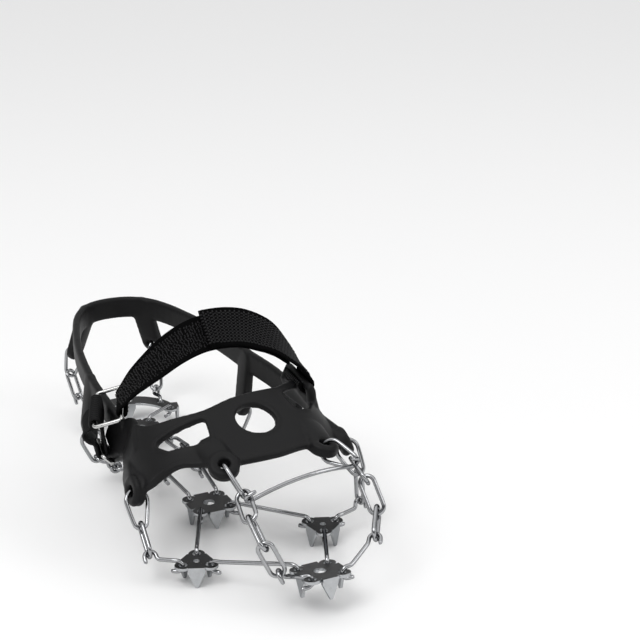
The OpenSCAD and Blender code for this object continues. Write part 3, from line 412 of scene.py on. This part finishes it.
def round_wire_tree():
    """Rounds swept wire: subdivides it and pushes it back out to its diameter."""
    tree, given = new_tree("round wire", [("Level", "NodeSocketInt"), ("Swell", "NodeSocketFloat")])
    finer = add(
        tree, "GeometryNodeSubdivisionSurface",
        {"Mesh": given.outputs["Geometry"], "Level": given.outputs["Level"]},
    )
    normal = add(tree, "GeometryNodeInputNormal")
    push = add(
        tree, "ShaderNodeVectorMath",
        {0: normal.outputs["Normal"], "Scale": given.outputs["Swell"]}, operation="SCALE",
    )
    swollen = add(
        tree, "GeometryNodeSetPosition", {"Geometry": finer.outputs[0], "Offset": push.outputs[0]},
    )
    return end_tree(tree, given, swollen.outputs[0])


def knuckle_tree():
    """Sets a small rounded knuckle of yarn on every point, turned by the point's own angles."""
    sizes = [("Length", "NodeSocketFloat"), ("Width", "NodeSocketFloat"), ("Height", "NodeSocketFloat")]
    tree, given = new_tree("yarn knuckles", sizes)
    ball = add(tree, "GeometryNodeMeshUVSphere", {"Segments": 8, "Rings": 4, "Radius": 0.5})
    scale = add(
        tree, "ShaderNodeCombineXYZ",
        {"X": given.outputs["Length"], "Y": given.outputs["Width"], "Z": given.outputs["Height"]},
    )
    turn = add(tree, "GeometryNodeInputNamedAttribute", {"Name": "turn"}, data_type="FLOAT_VECTOR")
    size = add(tree, "GeometryNodeInputNamedAttribute", {"Name": "size"}, data_type="FLOAT_VECTOR")
    sized = add(
        tree, "ShaderNodeVectorMath", {0: scale.outputs[0], 1: size.outputs[0]}, operation="MULTIPLY"
    )
    knuckles = add(
        tree, "GeometryNodeInstanceOnPoints",
        {
            "Points": given.outputs["Geometry"], "Instance": ball.outputs["Mesh"],
            "Rotation": turn.outputs[0], "Scale": sized.outputs[0],
        },
    )
    return end_tree(tree, given, knuckles.outputs["Instances"])


def grow(obj, tree, values):
    """Runs a tree on an object with its inputs set by identifier, and keeps the plain mesh."""
    modifier = obj.modifiers.new(tree.name, "NODES")
    modifier.node_group = tree
    for item in tree.interface.items_tree:
        if item.in_out == "INPUT" and item.name in values:
            modifier[item.identifier] = values[item.name]
    return baked(obj)


def knuckle_points(name, rows):
    """Points for knuckles: each row is a place, way along, way out and a size factor."""
    mesh = mesh_from(name, in_frame([r[0] for r in rows]), [])
    turns, sizes = [], []
    for place, way, out, size in rows:
        side = np.cross(out, way)
        turns += list(Matrix(np.array([way, side, out]).T.tolist()).to_euler())
        sizes += list(size)
    for label, values in (("turn", turns), ("size", sizes)):
        mesh.attributes.new(label, "FLOAT_VECTOR", "POINT").data.foreach_set("vector", values)
    return new_object(name, mesh)


# Foot surface that the panel lies on, by angle round the foot and place along it

FOOT_MID_X, FOOT_BASE_Z, FOOT_POWER, PANEL_T = 2, 20, 2.4, 3.4
FOOT_WIDTH = [(-110, 42), (-90, 51), (-66, 57), (-40, 57), (-15, 49.5), (20, 47)]
FOOT_CROWN = [(-110, 48), (-90, 56.5), (-66, 67), (-48, 75), (-34, 84), (-20, 93), (0, 100)]
PANEL_FRONT = [
    (14, -58), (26, -67), (36, -70.5), (49, -74), (58, -79.5), (69, -85.5), (82, -88), (95, -88),
    (108, -85), (121, -82), (134, -79), (146, -70), (156, -58),
]
# Windows: corners as angle and place, the corners' radius, and the way that each is cut
WINDOWS = [
    ([(46.8, -55.6), (50.4, -61.4), (69.4, -69.5), (71.6, -58.6), (53.9, -56.6)], 1.8, None),
    ([(92.4, -64.6)], 9.9, None),
    ([(115, -49.5), (128.5, -42), (131.5, -45.5), (123.5, -54.5), (117, -56)], 2.4, (-0.1, -0.75, 0.65)),
]


def foot(a, y):
    c, s = math.cos(math.radians(a)), math.sin(math.radians(a))
    bow_c, bow_s = (math.copysign(abs(v) ** (2 / FOOT_POWER), v) for v in (c, s))
    return np.array([
        FOOT_MID_X - curve(FOOT_WIDTH, y) * bow_c, y,
        FOOT_BASE_Z + (curve(FOOT_CROWN, y) - FOOT_BASE_Z) * bow_s,
    ])


def foot_out(a, y):
    return unit(np.cross(foot(a + 1, y) - foot(a - 1, y), foot(a, y + 1) - foot(a, y - 1)))


def window_outline(corners, r, cut, steps=72):
    """Outline of a window on the panel's outer face, and the way that the window is cut."""
    middle = np.mean(corners, axis=0)
    out = unit(cut) if cut else foot_out(*middle)
    e1 = unit(square_to([1, 0, 0], out))
    e2 = np.cross(out, e1)
    places = [foot(*c) for c in corners]
    centre = np.mean(places, axis=0)
    flat = [np.array([np.dot(p - centre, e1), np.dot(p - centre, e2)]) for p in places]
    outline = []
    for i in range(steps):
        a = 2 * math.pi * i / steps
        ray = np.array([math.cos(a), math.sin(a)])
        best = max(flat, key=lambda p: np.dot(p, ray))
        outline.append(centre + e1 * (best[0] + ray[0] * r) + e2 * (best[1] + ray[1] * r))
    return even_path(outline, 1.2), out


def even_path(points, step):
    """Closed path with points about so far apart."""
    points = np.array(points)
    gaps = np.linalg.norm(np.roll(points, -1, axis=0) - points, axis=1)
    at = np.concatenate([[0], np.cumsum(gaps)])
    ring = np.vstack([points, points[:1]])
    count = max(int(at[-1] / step), 12)
    marks = np.linspace(0, at[-1], count, endpoint=False)
    return np.stack([np.interp(marks, at, ring[:, k]) for k in range(3)], axis=1)


def on_skin(tree, points, out, lift):
    """Points moved along out on to the harness's skin, and then lifted."""
    moved = []
    for p in points:
        start = Vector(in_frame(p + out * 12))
        hit = tree.ray_cast(start, Vector(-out))[0]
        moved.append(np.array(hit) / MM - ORIGIN_SHIFT + out * lift if hit else p + out * lift)
    return np.array(moved)


# Collar round a lug's eye, in millimetres; the loop's wire stands off the eye's middle by the slack
BOSS_R, BOSS_HOLE_R, BOSS_T, EYE_SLACK = 7.7, 3.0, 6.2, 0.5
BOSS_EASE, BOSS_DISH, BOSS_PART = 1.4, 0.2, 0.8
# Loops in the front lugs' eyes, and the way of the eye where it leans
FRONT_LOOPS = [
    ("side_loop_outer", None),
    ("toe_loop_outer", (-0.17, -0.4, 0.9)),
    ("toe_loop_inner", (0.22, -0.12, 0.94)),
    ("side_loop_inner", None),
]
# Lips lie a little outside each window and sink into the panel; the bead lies just inside the front edge
LIP_CLEAR, LIP_SINK, BEAD_BACK, BEAD_SINK = 1.15, 0.35, 0.9, 0.6
BEAD_SPAN, BEAD_STEPS = (22, 148), 110
# Smoothing of the melted rubber
EASE_PULL, EASE_ROUNDS = 0.5, 7


def lug_boss(loop, lean):
    """Thick collar round a lug's eye, parted along its rim; the loop in the eye shows where it is."""
    points = np.array([v.co for v in frame["nodes"][loop].data.vertices]) / MM - ORIGIN_SHIFT
    middle = points.mean(axis=0)
    along, across = np.linalg.svd(points - middle, full_matrices=False)[2][:2]
    reach, spread = (points - middle) @ along, (points - middle) @ across
    if np.ptp(spread[reach > 0]) < np.ptp(spread[reach < 0]):
        along, reach = -along, -reach
    eye = middle + along * (reach.max() - WIRE_R - EYE_SLACK)
    axis = unit(square_to(lean, along)) if lean else across
    flat = np.cross(axis, along)
    angles = np.linspace(0, 2 * math.pi, 40, endpoint=False)
    rim = (BOSS_R + BOSS_HOLE_R) / 2
    path = np.array([eye + (along * math.cos(a) + flat * math.sin(a)) * rim for a in angles])
    half, deep = BOSS_T / 2, (BOSS_R - BOSS_HOLE_R) / 2
    upper = [
        (0, deep - BOSS_PART), (BOSS_PART, deep), (half - BOSS_EASE, deep), (half, deep - BOSS_EASE),
        (half - BOSS_DISH, -deep),
    ]
    lower = [(-a, b) for a, b in upper[:0:-1]]
    return ring_sweep("boss", path, [axis] * len(path), [upper + lower] * len(path), closed=True)


# Outer ear: places on the flank that its web starts from, its free end, and its widths, in millimetres
EAR_ROOTS = [(25, -42), (25, -34), (25, -27)]
EAR_BEND, EAR_END = (-47.3, -18, 49.5), (-47.4, -4.5, 51.5)
EAR_WIDTHS = (14, 17, 19, 18, 15)


def ear_web():
    """Flat web that flares from the panel's outer flank to the keeper."""
    knots = [foot(a, y) - foot_out(a, y) * PANEL_T / 2 for a, y in EAR_ROOTS]
    knots += [np.array(EAR_BEND), np.array(EAR_END)]
    marks = np.linspace(0, len(knots) - 1, 25)
    path = np.array([on_path(knots, k) for k in marks])
    across = unit(foot(32, -30) - foot(18, -30))
    sections = [strap_section(float(on_path(EAR_WIDTHS, k)), PANEL_T, 1.2) for k in marks]
    return ring_sweep("ear web", path, [across] * len(path), sections)


class CLEAT_OT_harness(bpy.types.Operator):
    """Melts the CAD harness, lug collars, window lips and front bead into one moulded rubber piece."""

    bl_idname = "cleat.harness"
    bl_label = "Rubber harness"

    def execute(self, context):
        sizes, colours = context.scene.cleat_sizes, context.scene.cleat_colours
        body = cad_copy("harness", "harness body")
        skin = bvhtree.BVHTree.FromObject(body, context.evaluated_depsgraph_get())
        parts = [body]
        lip = sizes.lip_r / MM
        for corners, r, cut in WINDOWS:
            outline, out = window_outline(corners, r + lip * LIP_CLEAR, cut)
            path = on_skin(skin, outline, out, -LIP_SINK * lip)
            parts.append(round_tube("lip", path, lip, closed=True))
        bead = sizes.bead_r / MM
        edge = [(a, float(curve(PANEL_FRONT, a))) for a in np.linspace(*BEAD_SPAN, BEAD_STEPS)]
        path = [foot(a, y + bead * BEAD_BACK) - foot_out(a, y) * (bead * BEAD_SINK) for a, y in edge]
        parts.append(round_tube("bead", np.array(path), bead))
        parts += [lug_boss(loop, lean) for loop, lean in FRONT_LOOPS]
        parts.append(ear_web())
        obj = joined("rubber_harness", parts)
        melt = obj.modifiers.new("melt", "REMESH")
        melt.mode = "VOXEL"
        melt.voxel_size = sizes.voxel
        ease = obj.modifiers.new("ease", "SMOOTH")
        ease.factor = EASE_PULL
        ease.iterations = EASE_ROUNDS
        baked(obj, moulded_rubber(colours))
        smooth(obj.data)
        finish_piece(obj, "harness", ["harness"])
        return {"FINISHED"}


# Part of its radius that an eight sided wire keeps when it is subdivided
SUBDIVIDED_R = 0.909


class CLEAT_OT_wire(bpy.types.Operator):
    """Rounds and polishes every link, hook, loop, ladder and ring of wire."""

    bl_idname = "cleat.wire"
    bl_label = "Chain wire and rings"

    def execute(self, context):
        colours = context.scene.cleat_colours
        chain = bright_metal("polished stainless wire", colours.wire, 0.12, 1.2, "#131314")
        nickel = bright_metal("nickel plated wire", colours.ring, 0.1, 1.5, "#1d1d1d")
        tree = round_wire_tree()
        swell = WIRE_R * MM * (1 / SUBDIVIDED_R - 1)
        for node in frame["nodes"]:
            if node in PLATES or node in SOFT:
                continue
            swept = node.startswith(SWEPT_WIRE)
            obj = cad_copy(node, "wire_" + node, quads=swept)
            values = {
                "Level": 2 if swept else 0,
                "Swell": swell if swept else 0.0,
                "Material": nickel if node in RINGS else chain,
            }
            grow(obj, tree, values)
            finish_piece(obj, body_of(node), [node])
        return {"FINISHED"}


# Toe plate's tilt and least bend at a plate's edge, in degrees, and how level a plate's top is to get the
# painted shade and dark reflection of the sole
TOE_TILT, EDGE_BEND, TOP_LEVEL = 9, 50, 0.9


class CLEAT_OT_plates(bpy.types.Operator):
    """Eases the stamped edges of the spiked plates, gives them their zinc and paints their upper faces
    with the sole's shade and dark reflection.
    """

    bl_idname = "cleat.plates"
    bl_label = "Spiked plates"

    def execute(self, context):
        sizes, colours = context.scene.cleat_sizes, context.scene.cleat_colours
        zinc = bright_metal("bright zinc plate", colours.plate, 0.3, 2.5, "#66686b")
        painted_top_shade = painted_top_steel(colours)
        for node in PLATES:
            obj = cad_copy(node, "spiked_" + node)
            ease = obj.modifiers.new("edge", "BEVEL")
            ease.width = sizes.edge_round
            ease.segments = 2
            ease.limit_method = "ANGLE"
            ease.angle_limit = math.radians(EDGE_BEND)
            baked(obj, zinc)
            # Upper faces get painted shade and dark reflection of the sole
            paint_top_shade(obj.data, painted_top_shade, TOE_TILT if node == "toe_plate" else 0)
            finish_piece(obj, body_of(node), [node])
        return {"FINISHED"}


def paint_top_shade(mesh, painted_top_shade, tilt):
    """The plate's upper face, not its edges, gets painted shade and dark reflection of the sole; tilt is
    the plate's own, in degrees.
    """
    mesh.materials.append(painted_top_shade)
    tilt = math.radians(tilt)
    up = Vector((0, -math.sin(tilt), math.cos(tilt)))
    for face in mesh.polygons:
        if face.normal.dot(up) > TOP_LEVEL:
            face.material_index = 1


def body_of(node):
    for body, members in frame["record"]["behaviour"]["bodies"].items():
        if node in members:
            return body
    raise ValueError(node + " is on no body")


# Straps: the lower strap's middle line over the instep and the way across it

ARCH = np.array([
    (-45, -12, 66.8), (-36.5, -13, 75.8), (-27.5, -15, 83.5), (-16, -16.5, 91.5), (-4.5, -18, 96.5),
    (7, -19.5, 98), (18, -21, 96.8), (27.6, -23.5, 92.9), (33.7, -26, 88.5), (38.9, -28.5, 82.8),
    (43, -30.9, 77.2), (46, -33, 71.3),
])
ARCH_SIDE = np.array([
    (0.36, 0.89, 0.28), (0.16, 0.74, 0.65), (0, 0.68, 0.73), (0.03, 0.85, 0.52), (0.06, 0.96, 0.08),
])
ARCH_END = len(ARCH) - 1
HOOK_START, PILE_END = 4.3, 9.4
STRAP_W, STRAP_T, STRAP_GAP = 20, 1.6, 0.4
# The hook strap is sewn from a wider band, and its free end stands over the pile strap's upper edge
HOOK_W, HOOK_OVER = 21.4, 1.1
STRAP_STEP = STRAP_T + STRAP_GAP
WIRE_R, EAR_BAR_R = 1.0, 2.2
STRAP_TURN = 240
# Plain margin along the hook strap's and the pile strap's edges, and how close the loops of a row stand
SELVEDGE, PILE_MARGIN, LOOP_STEP = 2.2, 2.8, 0.72
# Rounding of the straps' selvedges
HOOK_EDGE, PILE_EDGE, KEEPER_EDGE = 0.8, 0.65, 0.7
# Knuckles and loops: length and width as parts of their spacing, and height in millimetres
KNUCKLE_LONG, KNUCKLE_WIDE, KNUCKLE_TALL = 0.86, 0.52, 1.1
LOOP_LONG, LOOP_WIDE, LOOP_TALL = 0.95, 0.55, 0.8
# How far a loop may turn, in radians, shift along and across, and differ in height
LOOP_TURN, LOOP_ALONG, LOOP_ACROSS, LOOP_VARY = 0.9, 0.4, 0.3, 0.4
# The pile strap's band is thinner, its loops sink into it, and it is gathered at the buckle ring
PILE_THIN, LOOP_SINK = 0.3, 0.25
GATHERED, GATHER_FROM, GATHER_OVER = 0.9, 9, 14
# Hem of the hook strap: where its fold ends, how thick it is, and its ridges' places, widths and heights
HEM_END, HEM_EDGE, HEM_LIFT = 6.2, 0.25, 0.9
HEM_RIDGES = [(1.5, 1.0, 0.7), (5.0, 0.8, 0.5)]


def arch_side(k):
    return unit(on_path(ARCH_SIDE, (len(ARCH_SIDE) - 1) * k / ARCH_END))


def arch_way(k):
    ahead = on_path(ARCH, min(k + 0.05, ARCH_END)) - on_path(ARCH, max(k - 0.05, 0))
    return unit(square_to(ahead, arch_side(k)))


def arch_out(k):
    return unit(np.cross(arch_way(k), arch_side(k)))


def arch_point(k, h):
    return on_path(ARCH, k) + arch_out(k) * h


def wrap_r(r):
    return r + STRAP_GAP + STRAP_T / 2


def wrap(centre, out, way, r, to, steps=24):
    angles = np.radians(np.linspace(0, to, steps + 1))
    return [centre + (out * math.cos(a) + way * math.sin(a)) * wrap_r(r) for a in angles]


EAR_BAR = arch_point(ARCH_END, STRAP_STEP) - arch_out(ARCH_END) * wrap_r(EAR_BAR_R)
BUCKLE_RIGHT = arch_point(0, 0) - arch_out(0) * wrap_r(WIRE_R)
BUCKLE_LEN, KEEPER_LEN, KEEPER_LEAD = 14.5, 20, 4
# How far the keeper's run away from the foot stands off by its slack, its step along, and its ribs' depth
KEEPER_SLACK, KEEPER_STEP, RIB_DEPTH = 4.5, 0.8, 0.2
BUCKLE_WAY = (0.9, -0.28, 0.34)
KEEPER_WAY = unit((0.05, -0.08, -0.95))
ANCHOR_SIDE = (0.2, 0.95, 0)


def strap_section(width, thick, edge, lift=0.0, rib=0.0, rib_pitch=1.0):
    """Outline of a strap: flat faces, rounded selvedges, its outer face lifted or ribbed."""
    half, t = width / 2, thick / 2
    across = np.linspace(-half + edge, half - edge, 73 if rib else 21)
    top = [(x, t + lift + rib * math.cos(2 * math.pi * x / rib_pitch)) for x in across]
    low = [(x, -t) for x in across[::-1]]
    turn = np.radians(np.linspace(90, -90, 7)[1:-1])
    right = [(half - edge + edge * math.cos(a), t * math.sin(a)) for a in turn]
    left = [(-half + edge - edge * math.cos(a), -t * math.sin(a)) for a in turn]
    return top + right + low + left


def run_along(path):
    """Distance along a path at each of its points."""
    return np.concatenate([[0], np.cumsum(np.linalg.norm(np.diff(path, axis=0), axis=1))])


def gathered(mark):
    """Part of its width that the pile strap keeps, so far from its end at the buckle ring."""
    return GATHERED + (1 - GATHERED) * min(max((mark - GATHER_FROM) / GATHER_OVER, 0), 1)


def strap_rows(path, sides, half, pitch_along, pitch_across, height):
    """Grid of knuckle places on a strap's outer face, every other row set half a step across."""
    path = np.array(path)
    at = run_along(path)
    rows = []
    for n, mark in enumerate(np.arange(pitch_along / 2, at[-1], pitch_along)):
        here = np.array([np.interp(mark, at, path[:, k]) for k in range(3)])
        i = min(int(np.searchsorted(at, mark)), len(path) - 1)
        way = unit(path[i] - path[i - 1])
        side = unit(square_to(sides[i], way))
        out = np.cross(way, side)
        shift = pitch_across / 2 if n % 2 else 0
        for across in np.arange(-half + shift, half + 1e-6, pitch_across):
            rows.append((here + side * across + out * height, way, out, mark, n))
    return rows


class CLEAT_OT_hook_strap(bpy.types.Operator):
    """Weaves the hook strap: a ribbon with a double hem and rows of yarn knuckles."""

    bl_idname = "cleat.hook_strap"
    bl_label = "Hook strap"

    def execute(self, context):
        sizes, colours = context.scene.cleat_sizes, context.scene.cleat_colours
        ks = np.linspace(HOOK_START, ARCH_END, 90)[:-1]
        over = HOOK_OVER * (ARCH_END - ks) / (ARCH_END - HOOK_START)
        path = [arch_point(k, STRAP_STEP) + arch_side(k) * up for k, up in zip(ks, over)]
        path += wrap(EAR_BAR, arch_out(ARCH_END), arch_way(ARCH_END), EAR_BAR_R, STRAP_TURN)
        sides = [arch_side(k) for k in ks] + [arch_side(ARCH_END)] * (len(path) - len(ks))
        sections = [strap_section(HOOK_W, STRAP_T, HOOK_EDGE, lift=hem(mark)) for mark in run_along(path)]
        base = ring_sweep("hook strap body", path, sides, sections)
        along, across = sizes.weave_along / MM, sizes.weave_across / MM
        rows = []
        places = strap_rows(path, sides, HOOK_W / 2 - SELVEDGE, along / 2, across, STRAP_T / 2)
        for place, way, out, mark, n in places:
            place = place + out * hem(mark)
            if n % 2:
                rows.append((place, np.cross(out, way), out, (across / along, along / across, 1)))
            else:
                rows.append((place, way, out, (1, 1, 1)))
        material = yarn("coarse woven nylon", colours.weave, 0.5, 0.5, 0.2)
        knuckles = knuckle_points("hook strap weave", rows)
        values = {
            "Length": KNUCKLE_LONG * along * MM,
            "Width": KNUCKLE_WIDE * across * MM,
            "Height": KNUCKLE_TALL * MM,
            "Material": material,
        }
        grow(knuckles, knuckle_tree(), values)
        # The strap's ground yarn is the weave darkened as painted shade between the knuckles
        obj = dressed("woven_hook_strap", base, knuckles, painted_shade_yarn(colours.weave), material)
        smooth(obj.data)
        finish_piece(obj, "hook_strap", ["hook_strap"])
        return {"FINISHED"}


def painted_shade_yarn(colour):
    """Ground threads between the knuckles, darkened in colour as painted shade of the knuckles."""
    return yarn("nylon between knuckles with painted shade", shade(colour, 0.15), 0.6, 0.8, 0.03)


def dressed(name, base, knuckles, ground, material):
    """Strap and its knuckles as one piece, each with its own yarn; the strap's own yarn is darkened as
    painted shade.
    """
    count = len(base.data.polygons)
    obj = joined(name, [base, knuckles])
    # The ground yarn carries painted shade between the knuckles
    obj.data.materials.append(ground)
    obj.data.materials.append(material)
    index = [0 if i < count else 1 for i in range(len(obj.data.polygons))]
    obj.data.polygons.foreach_set("material_index", index)
    return obj


def hem(mark):
    """Extra thickness of the hook strap's folded end, with two stitched ridges."""
    fold = HEM_LIFT / (1 + math.exp((mark - HEM_END) / HEM_EDGE))
    ridges = [height * math.exp(-((mark - at) / width) ** 2) for at, width, height in HEM_RIDGES]
    return fold + sum(ridges)


class CLEAT_OT_pile_strap(bpy.types.Operator):
    """Makes the pile strap: smooth selvedges and a field of small loops between them."""

    bl_idname = "cleat.pile_strap"
    bl_label = "Pile strap"

    def execute(self, context):
        sizes, colours = context.scene.cleat_sizes, context.scene.cleat_colours
        turned = wrap(BUCKLE_RIGHT, arch_out(0), -arch_way(0), WIRE_R, STRAP_TURN)[::-1]
        ks = np.linspace(0, PILE_END, 80)[1:]
        path = turned + [arch_point(k, 0) for k in ks]
        sides = [arch_side(0)] * len(turned) + [arch_side(k) for k in ks]
        widths = [STRAP_W * gathered(mark) for mark in run_along(path)]
        sections = [strap_section(w, STRAP_T - PILE_THIN, PILE_EDGE) for w in widths]
        base = ring_sweep("pile strap body", path, sides, sections)
        pitch = sizes.loop_pitch / MM
        dice = random.Random(11)
        rows = []
        half, height = STRAP_W / 2 - PILE_MARGIN, STRAP_T / 2 - LOOP_SINK
        places = strap_rows(path, sides, half, pitch, LOOP_STEP * pitch, height)
        for place, way, out, mark, n in places:
            swing = dice.uniform(-LOOP_TURN, LOOP_TURN)
            side = np.cross(out, way)
            leaned = way * math.sin(swing) + side * math.cos(swing)
            along = dice.uniform(-LOOP_ALONG, LOOP_ALONG)
            across = dice.uniform(-LOOP_ACROSS, LOOP_ACROSS)
            tall = dice.uniform(1 - LOOP_VARY, 1 + LOOP_VARY)
            rows.append((place + way * along + side * across, leaned, out, (1, 1, tall)))
        material = yarn("loop pile nylon", colours.pile, 0.4, 0.6, 0.18)
        loops = knuckle_points("pile loops", rows)
        values = {
            "Length": LOOP_LONG * pitch * MM,
            "Width": LOOP_WIDE * pitch * MM,
            "Height": LOOP_TALL * MM,
            "Material": material,
        }
        grow(loops, knuckle_tree(), values)
        # The strap's ground yarn is the pile darkened as painted shade between the loops
        obj = dressed("loop_pile_strap", base, loops, painted_shade_yarn(colours.pile), material)
        smooth(obj.data)
        finish_piece(obj, "pile_strap", ["pile_strap"])
        return {"FINISHED"}


class CLEAT_OT_keeper(bpy.types.Operator):
    """Makes the ribbed webbing loop between the buckle ring and the anchor ring."""

    bl_idname = "cleat.keeper"
    bl_label = "Keeper webbing"

    def execute(self, context):
        sizes, colours = context.scene.cleat_sizes, context.scene.cleat_colours
        ring_side = arch_side(0)
        anchor_side = unit(square_to(ANCHOR_SIDE, KEEPER_WAY))
        buckle_left = BUCKLE_RIGHT - unit(square_to(BUCKLE_WAY, ring_side)) * BUCKLE_LEN
        anchor_top = buckle_left + KEEPER_WAY * KEEPER_LEN
        down = unit(square_to(KEEPER_WAY, ring_side))
        low = half_turn(anchor_top, anchor_side, KEEPER_WAY)
        high = half_turn(buckle_left, ring_side, -down)
        rise, drop = -KEEPER_WAY * KEEPER_LEAD, down * KEEPER_LEAD
        start, end = low[-1] + rise, high[-1] + drop
        off = unit(np.cross(ring_side, KEEPER_WAY)) * KEEPER_SLACK
        ts = np.linspace(0, 1, 13)[1:-1]
        slack = [start + (end - start) * t + off * math.sin(math.pi * t) for t in ts]
        turns = [anchor_side + (ring_side - anchor_side) * t for t in ts]
        path = [low[0] + rise] + low + [start] + slack + [end] + high[::-1] + [high[0] + drop]
        sides = [anchor_side] * (len(low) + 2) + turns + [ring_side] * (len(high) + 2)
        path, sides = finer_loop(path, sides, KEEPER_STEP)
        thick, pitch = STRAP_T - RIB_DEPTH, sizes.rib_pitch / MM
        section = strap_section(STRAP_W, thick, KEEPER_EDGE, rib=RIB_DEPTH, rib_pitch=pitch)
        obj = ring_sweep("ribbed_keeper", path, sides, [section] * len(path), closed=True)
        obj.data.materials.append(yarn("ribbed nylon webbing", colours.webbing, 0.45, 0.65, 0.14))
        smooth(obj.data)
        finish_piece(obj, "harness", ["keeper_webbing"])
        return {"FINISHED"}


def half_turn(centre, side, way):
    """Half turn of the keeper round a bar, from its run near the foot to its run away from it."""
    out = unit(np.cross(KEEPER_WAY, side))
    angles = np.radians(np.linspace(0, 180, 13))
    return [centre + (out * math.cos(a) + way * math.sin(a)) * wrap_r(WIRE_R) for a in angles]


def finer_loop(path, sides, step):
    """Closed path resampled at a short step, with its ways across blended along it."""
    path, sides = np.array(path), np.array(sides)
    gaps = np.linalg.norm(np.roll(path, -1, axis=0) - path, axis=1)
    at = np.concatenate([[0], np.cumsum(gaps)])
    ring = np.vstack([path, path[:1]])
    ways = np.vstack([sides, sides[:1]])
    marks = np.linspace(0, at[-1], int(at[-1] / step), endpoint=False)
    places = np.stack([np.interp(marks, at, ring[:, k]) for k in range(3)], axis=1)
    across = np.stack([np.interp(marks, at, ways[:, k]) for k in range(3)], axis=1)
    return places, across


# Stage: the sky's grey by height, dark from the side so that wire shows its edges
SKY = [(0.0, "#ffffff"), (0.16, "#f4f4f4"), (0.3, "#4a4a4c"), (0.46, "#58585a"), (0.68, "#ffffff")]
SKY_STRENGTH, FLOOR_HALF = 1.12, 8.0
# Camera at the photograph's angle
CAMERA_AT = (-0.25373, -0.65326, 0.33557)
CAMERA_AZ, CAMERA_EL = -26.6006, 18.763
CAMERA_LENS = 80.9


class CLEAT_OT_stage(bpy.types.Operator):
    """Sets the pale floor, the soft light and the camera."""

    bl_idname = "cleat.stage"
    bl_label = "Stage"

    def execute(self, context):
        scene = context.scene
        scene.view_settings.view_transform = "Standard"
        half = FLOOR_HALF
        corners = [(-half, -half, 0), (half, -half, 0), (half, half, 0), (-half, half, 0)]
        floor = new_object("floor", mesh_from("floor", corners, [(0, 1, 2, 3)]))
        floor.data.materials.append(plain_floor(scene.cleat_colours))
        self.light_world(scene)
        soft_lamp("key", (-0.9, -0.5, 1.5), 0.9, 9)
        soft_lamp("fill", (1.1, -1.0, 0.9), 0.7, 4)
        self.set_camera(scene)
        return {"FINISHED"}

    def light_world(self, scene):
        world = bpy.data.worlds.new("soft studio")
        scene.world = world
        world.use_nodes = True
        tree = world.node_tree
        tree.nodes.clear()
        way = add(tree, "ShaderNodeTexCoord").outputs["Generated"]
        height = add(tree, "ShaderNodeSeparateXYZ", {"Vector": way}).outputs["Z"]
        ramp = add(tree, "ShaderNodeValToRGB", {"Fac": height})
        while len(ramp.color_ramp.elements) < len(SKY):
            ramp.color_ramp.elements.new(0.5)
        for element, (at, colour) in zip(ramp.color_ramp.elements, SKY):
            element.position = at
            element.color = linear(colour)
        sky = {"Color": ramp.outputs["Color"], "Strength": SKY_STRENGTH}
        light = add(tree, "ShaderNodeBackground", sky)
        add(tree, "ShaderNodeOutputWorld", {"Surface": light.outputs[0]})

    def set_camera(self, scene):
        camera = bpy.data.cameras.new("camera")
        camera.lens = CAMERA_LENS
        camera.sensor_width = 36
        camera.clip_end = 100
        obj = new_object("camera", camera)
        az, el = math.radians(CAMERA_AZ), math.radians(CAMERA_EL)
        back = Vector((math.sin(az) * math.cos(el), -math.cos(az) * math.cos(el), math.sin(el)))
        obj.location = CAMERA_AT
        obj.rotation_euler = back.to_track_quat("Z", "Y").to_euler()
        scene.camera = obj


def soft_lamp(name, at, size, power):
    lamp = bpy.data.lights.new(name, "AREA")
    lamp.shape = "DISK"
    lamp.size = size
    lamp.energy = power
    obj = new_object(name, lamp)
    obj.location = at
    obj.rotation_euler = Vector(at).to_track_quat("Z", "Y").to_euler()


class CLEAT_PT_sidebar(bpy.types.Panel):
    """Lists the steps and the values that they use."""

    bl_idname = "CLEAT_PT_sidebar"
    bl_label = "Ice cleat"
    bl_space_type = "VIEW_3D"
    bl_region_type = "UI"
    bl_category = "Ice cleat"

    def draw(self, context):
        for group in (context.scene.cleat_sizes, context.scene.cleat_colours):
            for key in group.__annotations__:
                self.layout.prop(group, key)
        for step in STEPS:
            self.layout.operator(step.bl_idname)


STEPS = (
    CLEAT_OT_stage, CLEAT_OT_harness, CLEAT_OT_hook_strap, CLEAT_OT_pile_strap, CLEAT_OT_keeper,
    CLEAT_OT_wire, CLEAT_OT_plates,
)
CLASSES = (CleatSizes, CleatColours, CLEAT_PT_sidebar) + STEPS


def register():
    for item in CLASSES:
        bpy.utils.register_class(item)
    bpy.types.Scene.cleat_sizes = bpy.props.PointerProperty(type=CleatSizes)
    bpy.types.Scene.cleat_colours = bpy.props.PointerProperty(type=CleatColours)


def unregister():
    del bpy.types.Scene.cleat_colours
    del bpy.types.Scene.cleat_sizes
    for item in reversed(CLASSES):
        bpy.utils.unregister_class(item)


def main():
    register()
    bpy.ops.cleat.stage()
    bpy.ops.cleat.harness()
    bpy.ops.cleat.hook_strap()
    bpy.ops.cleat.pile_strap()
    bpy.ops.cleat.keeper()
    bpy.ops.cleat.wire()
    bpy.ops.cleat.plates()


if __name__ == "__main__":
    main()
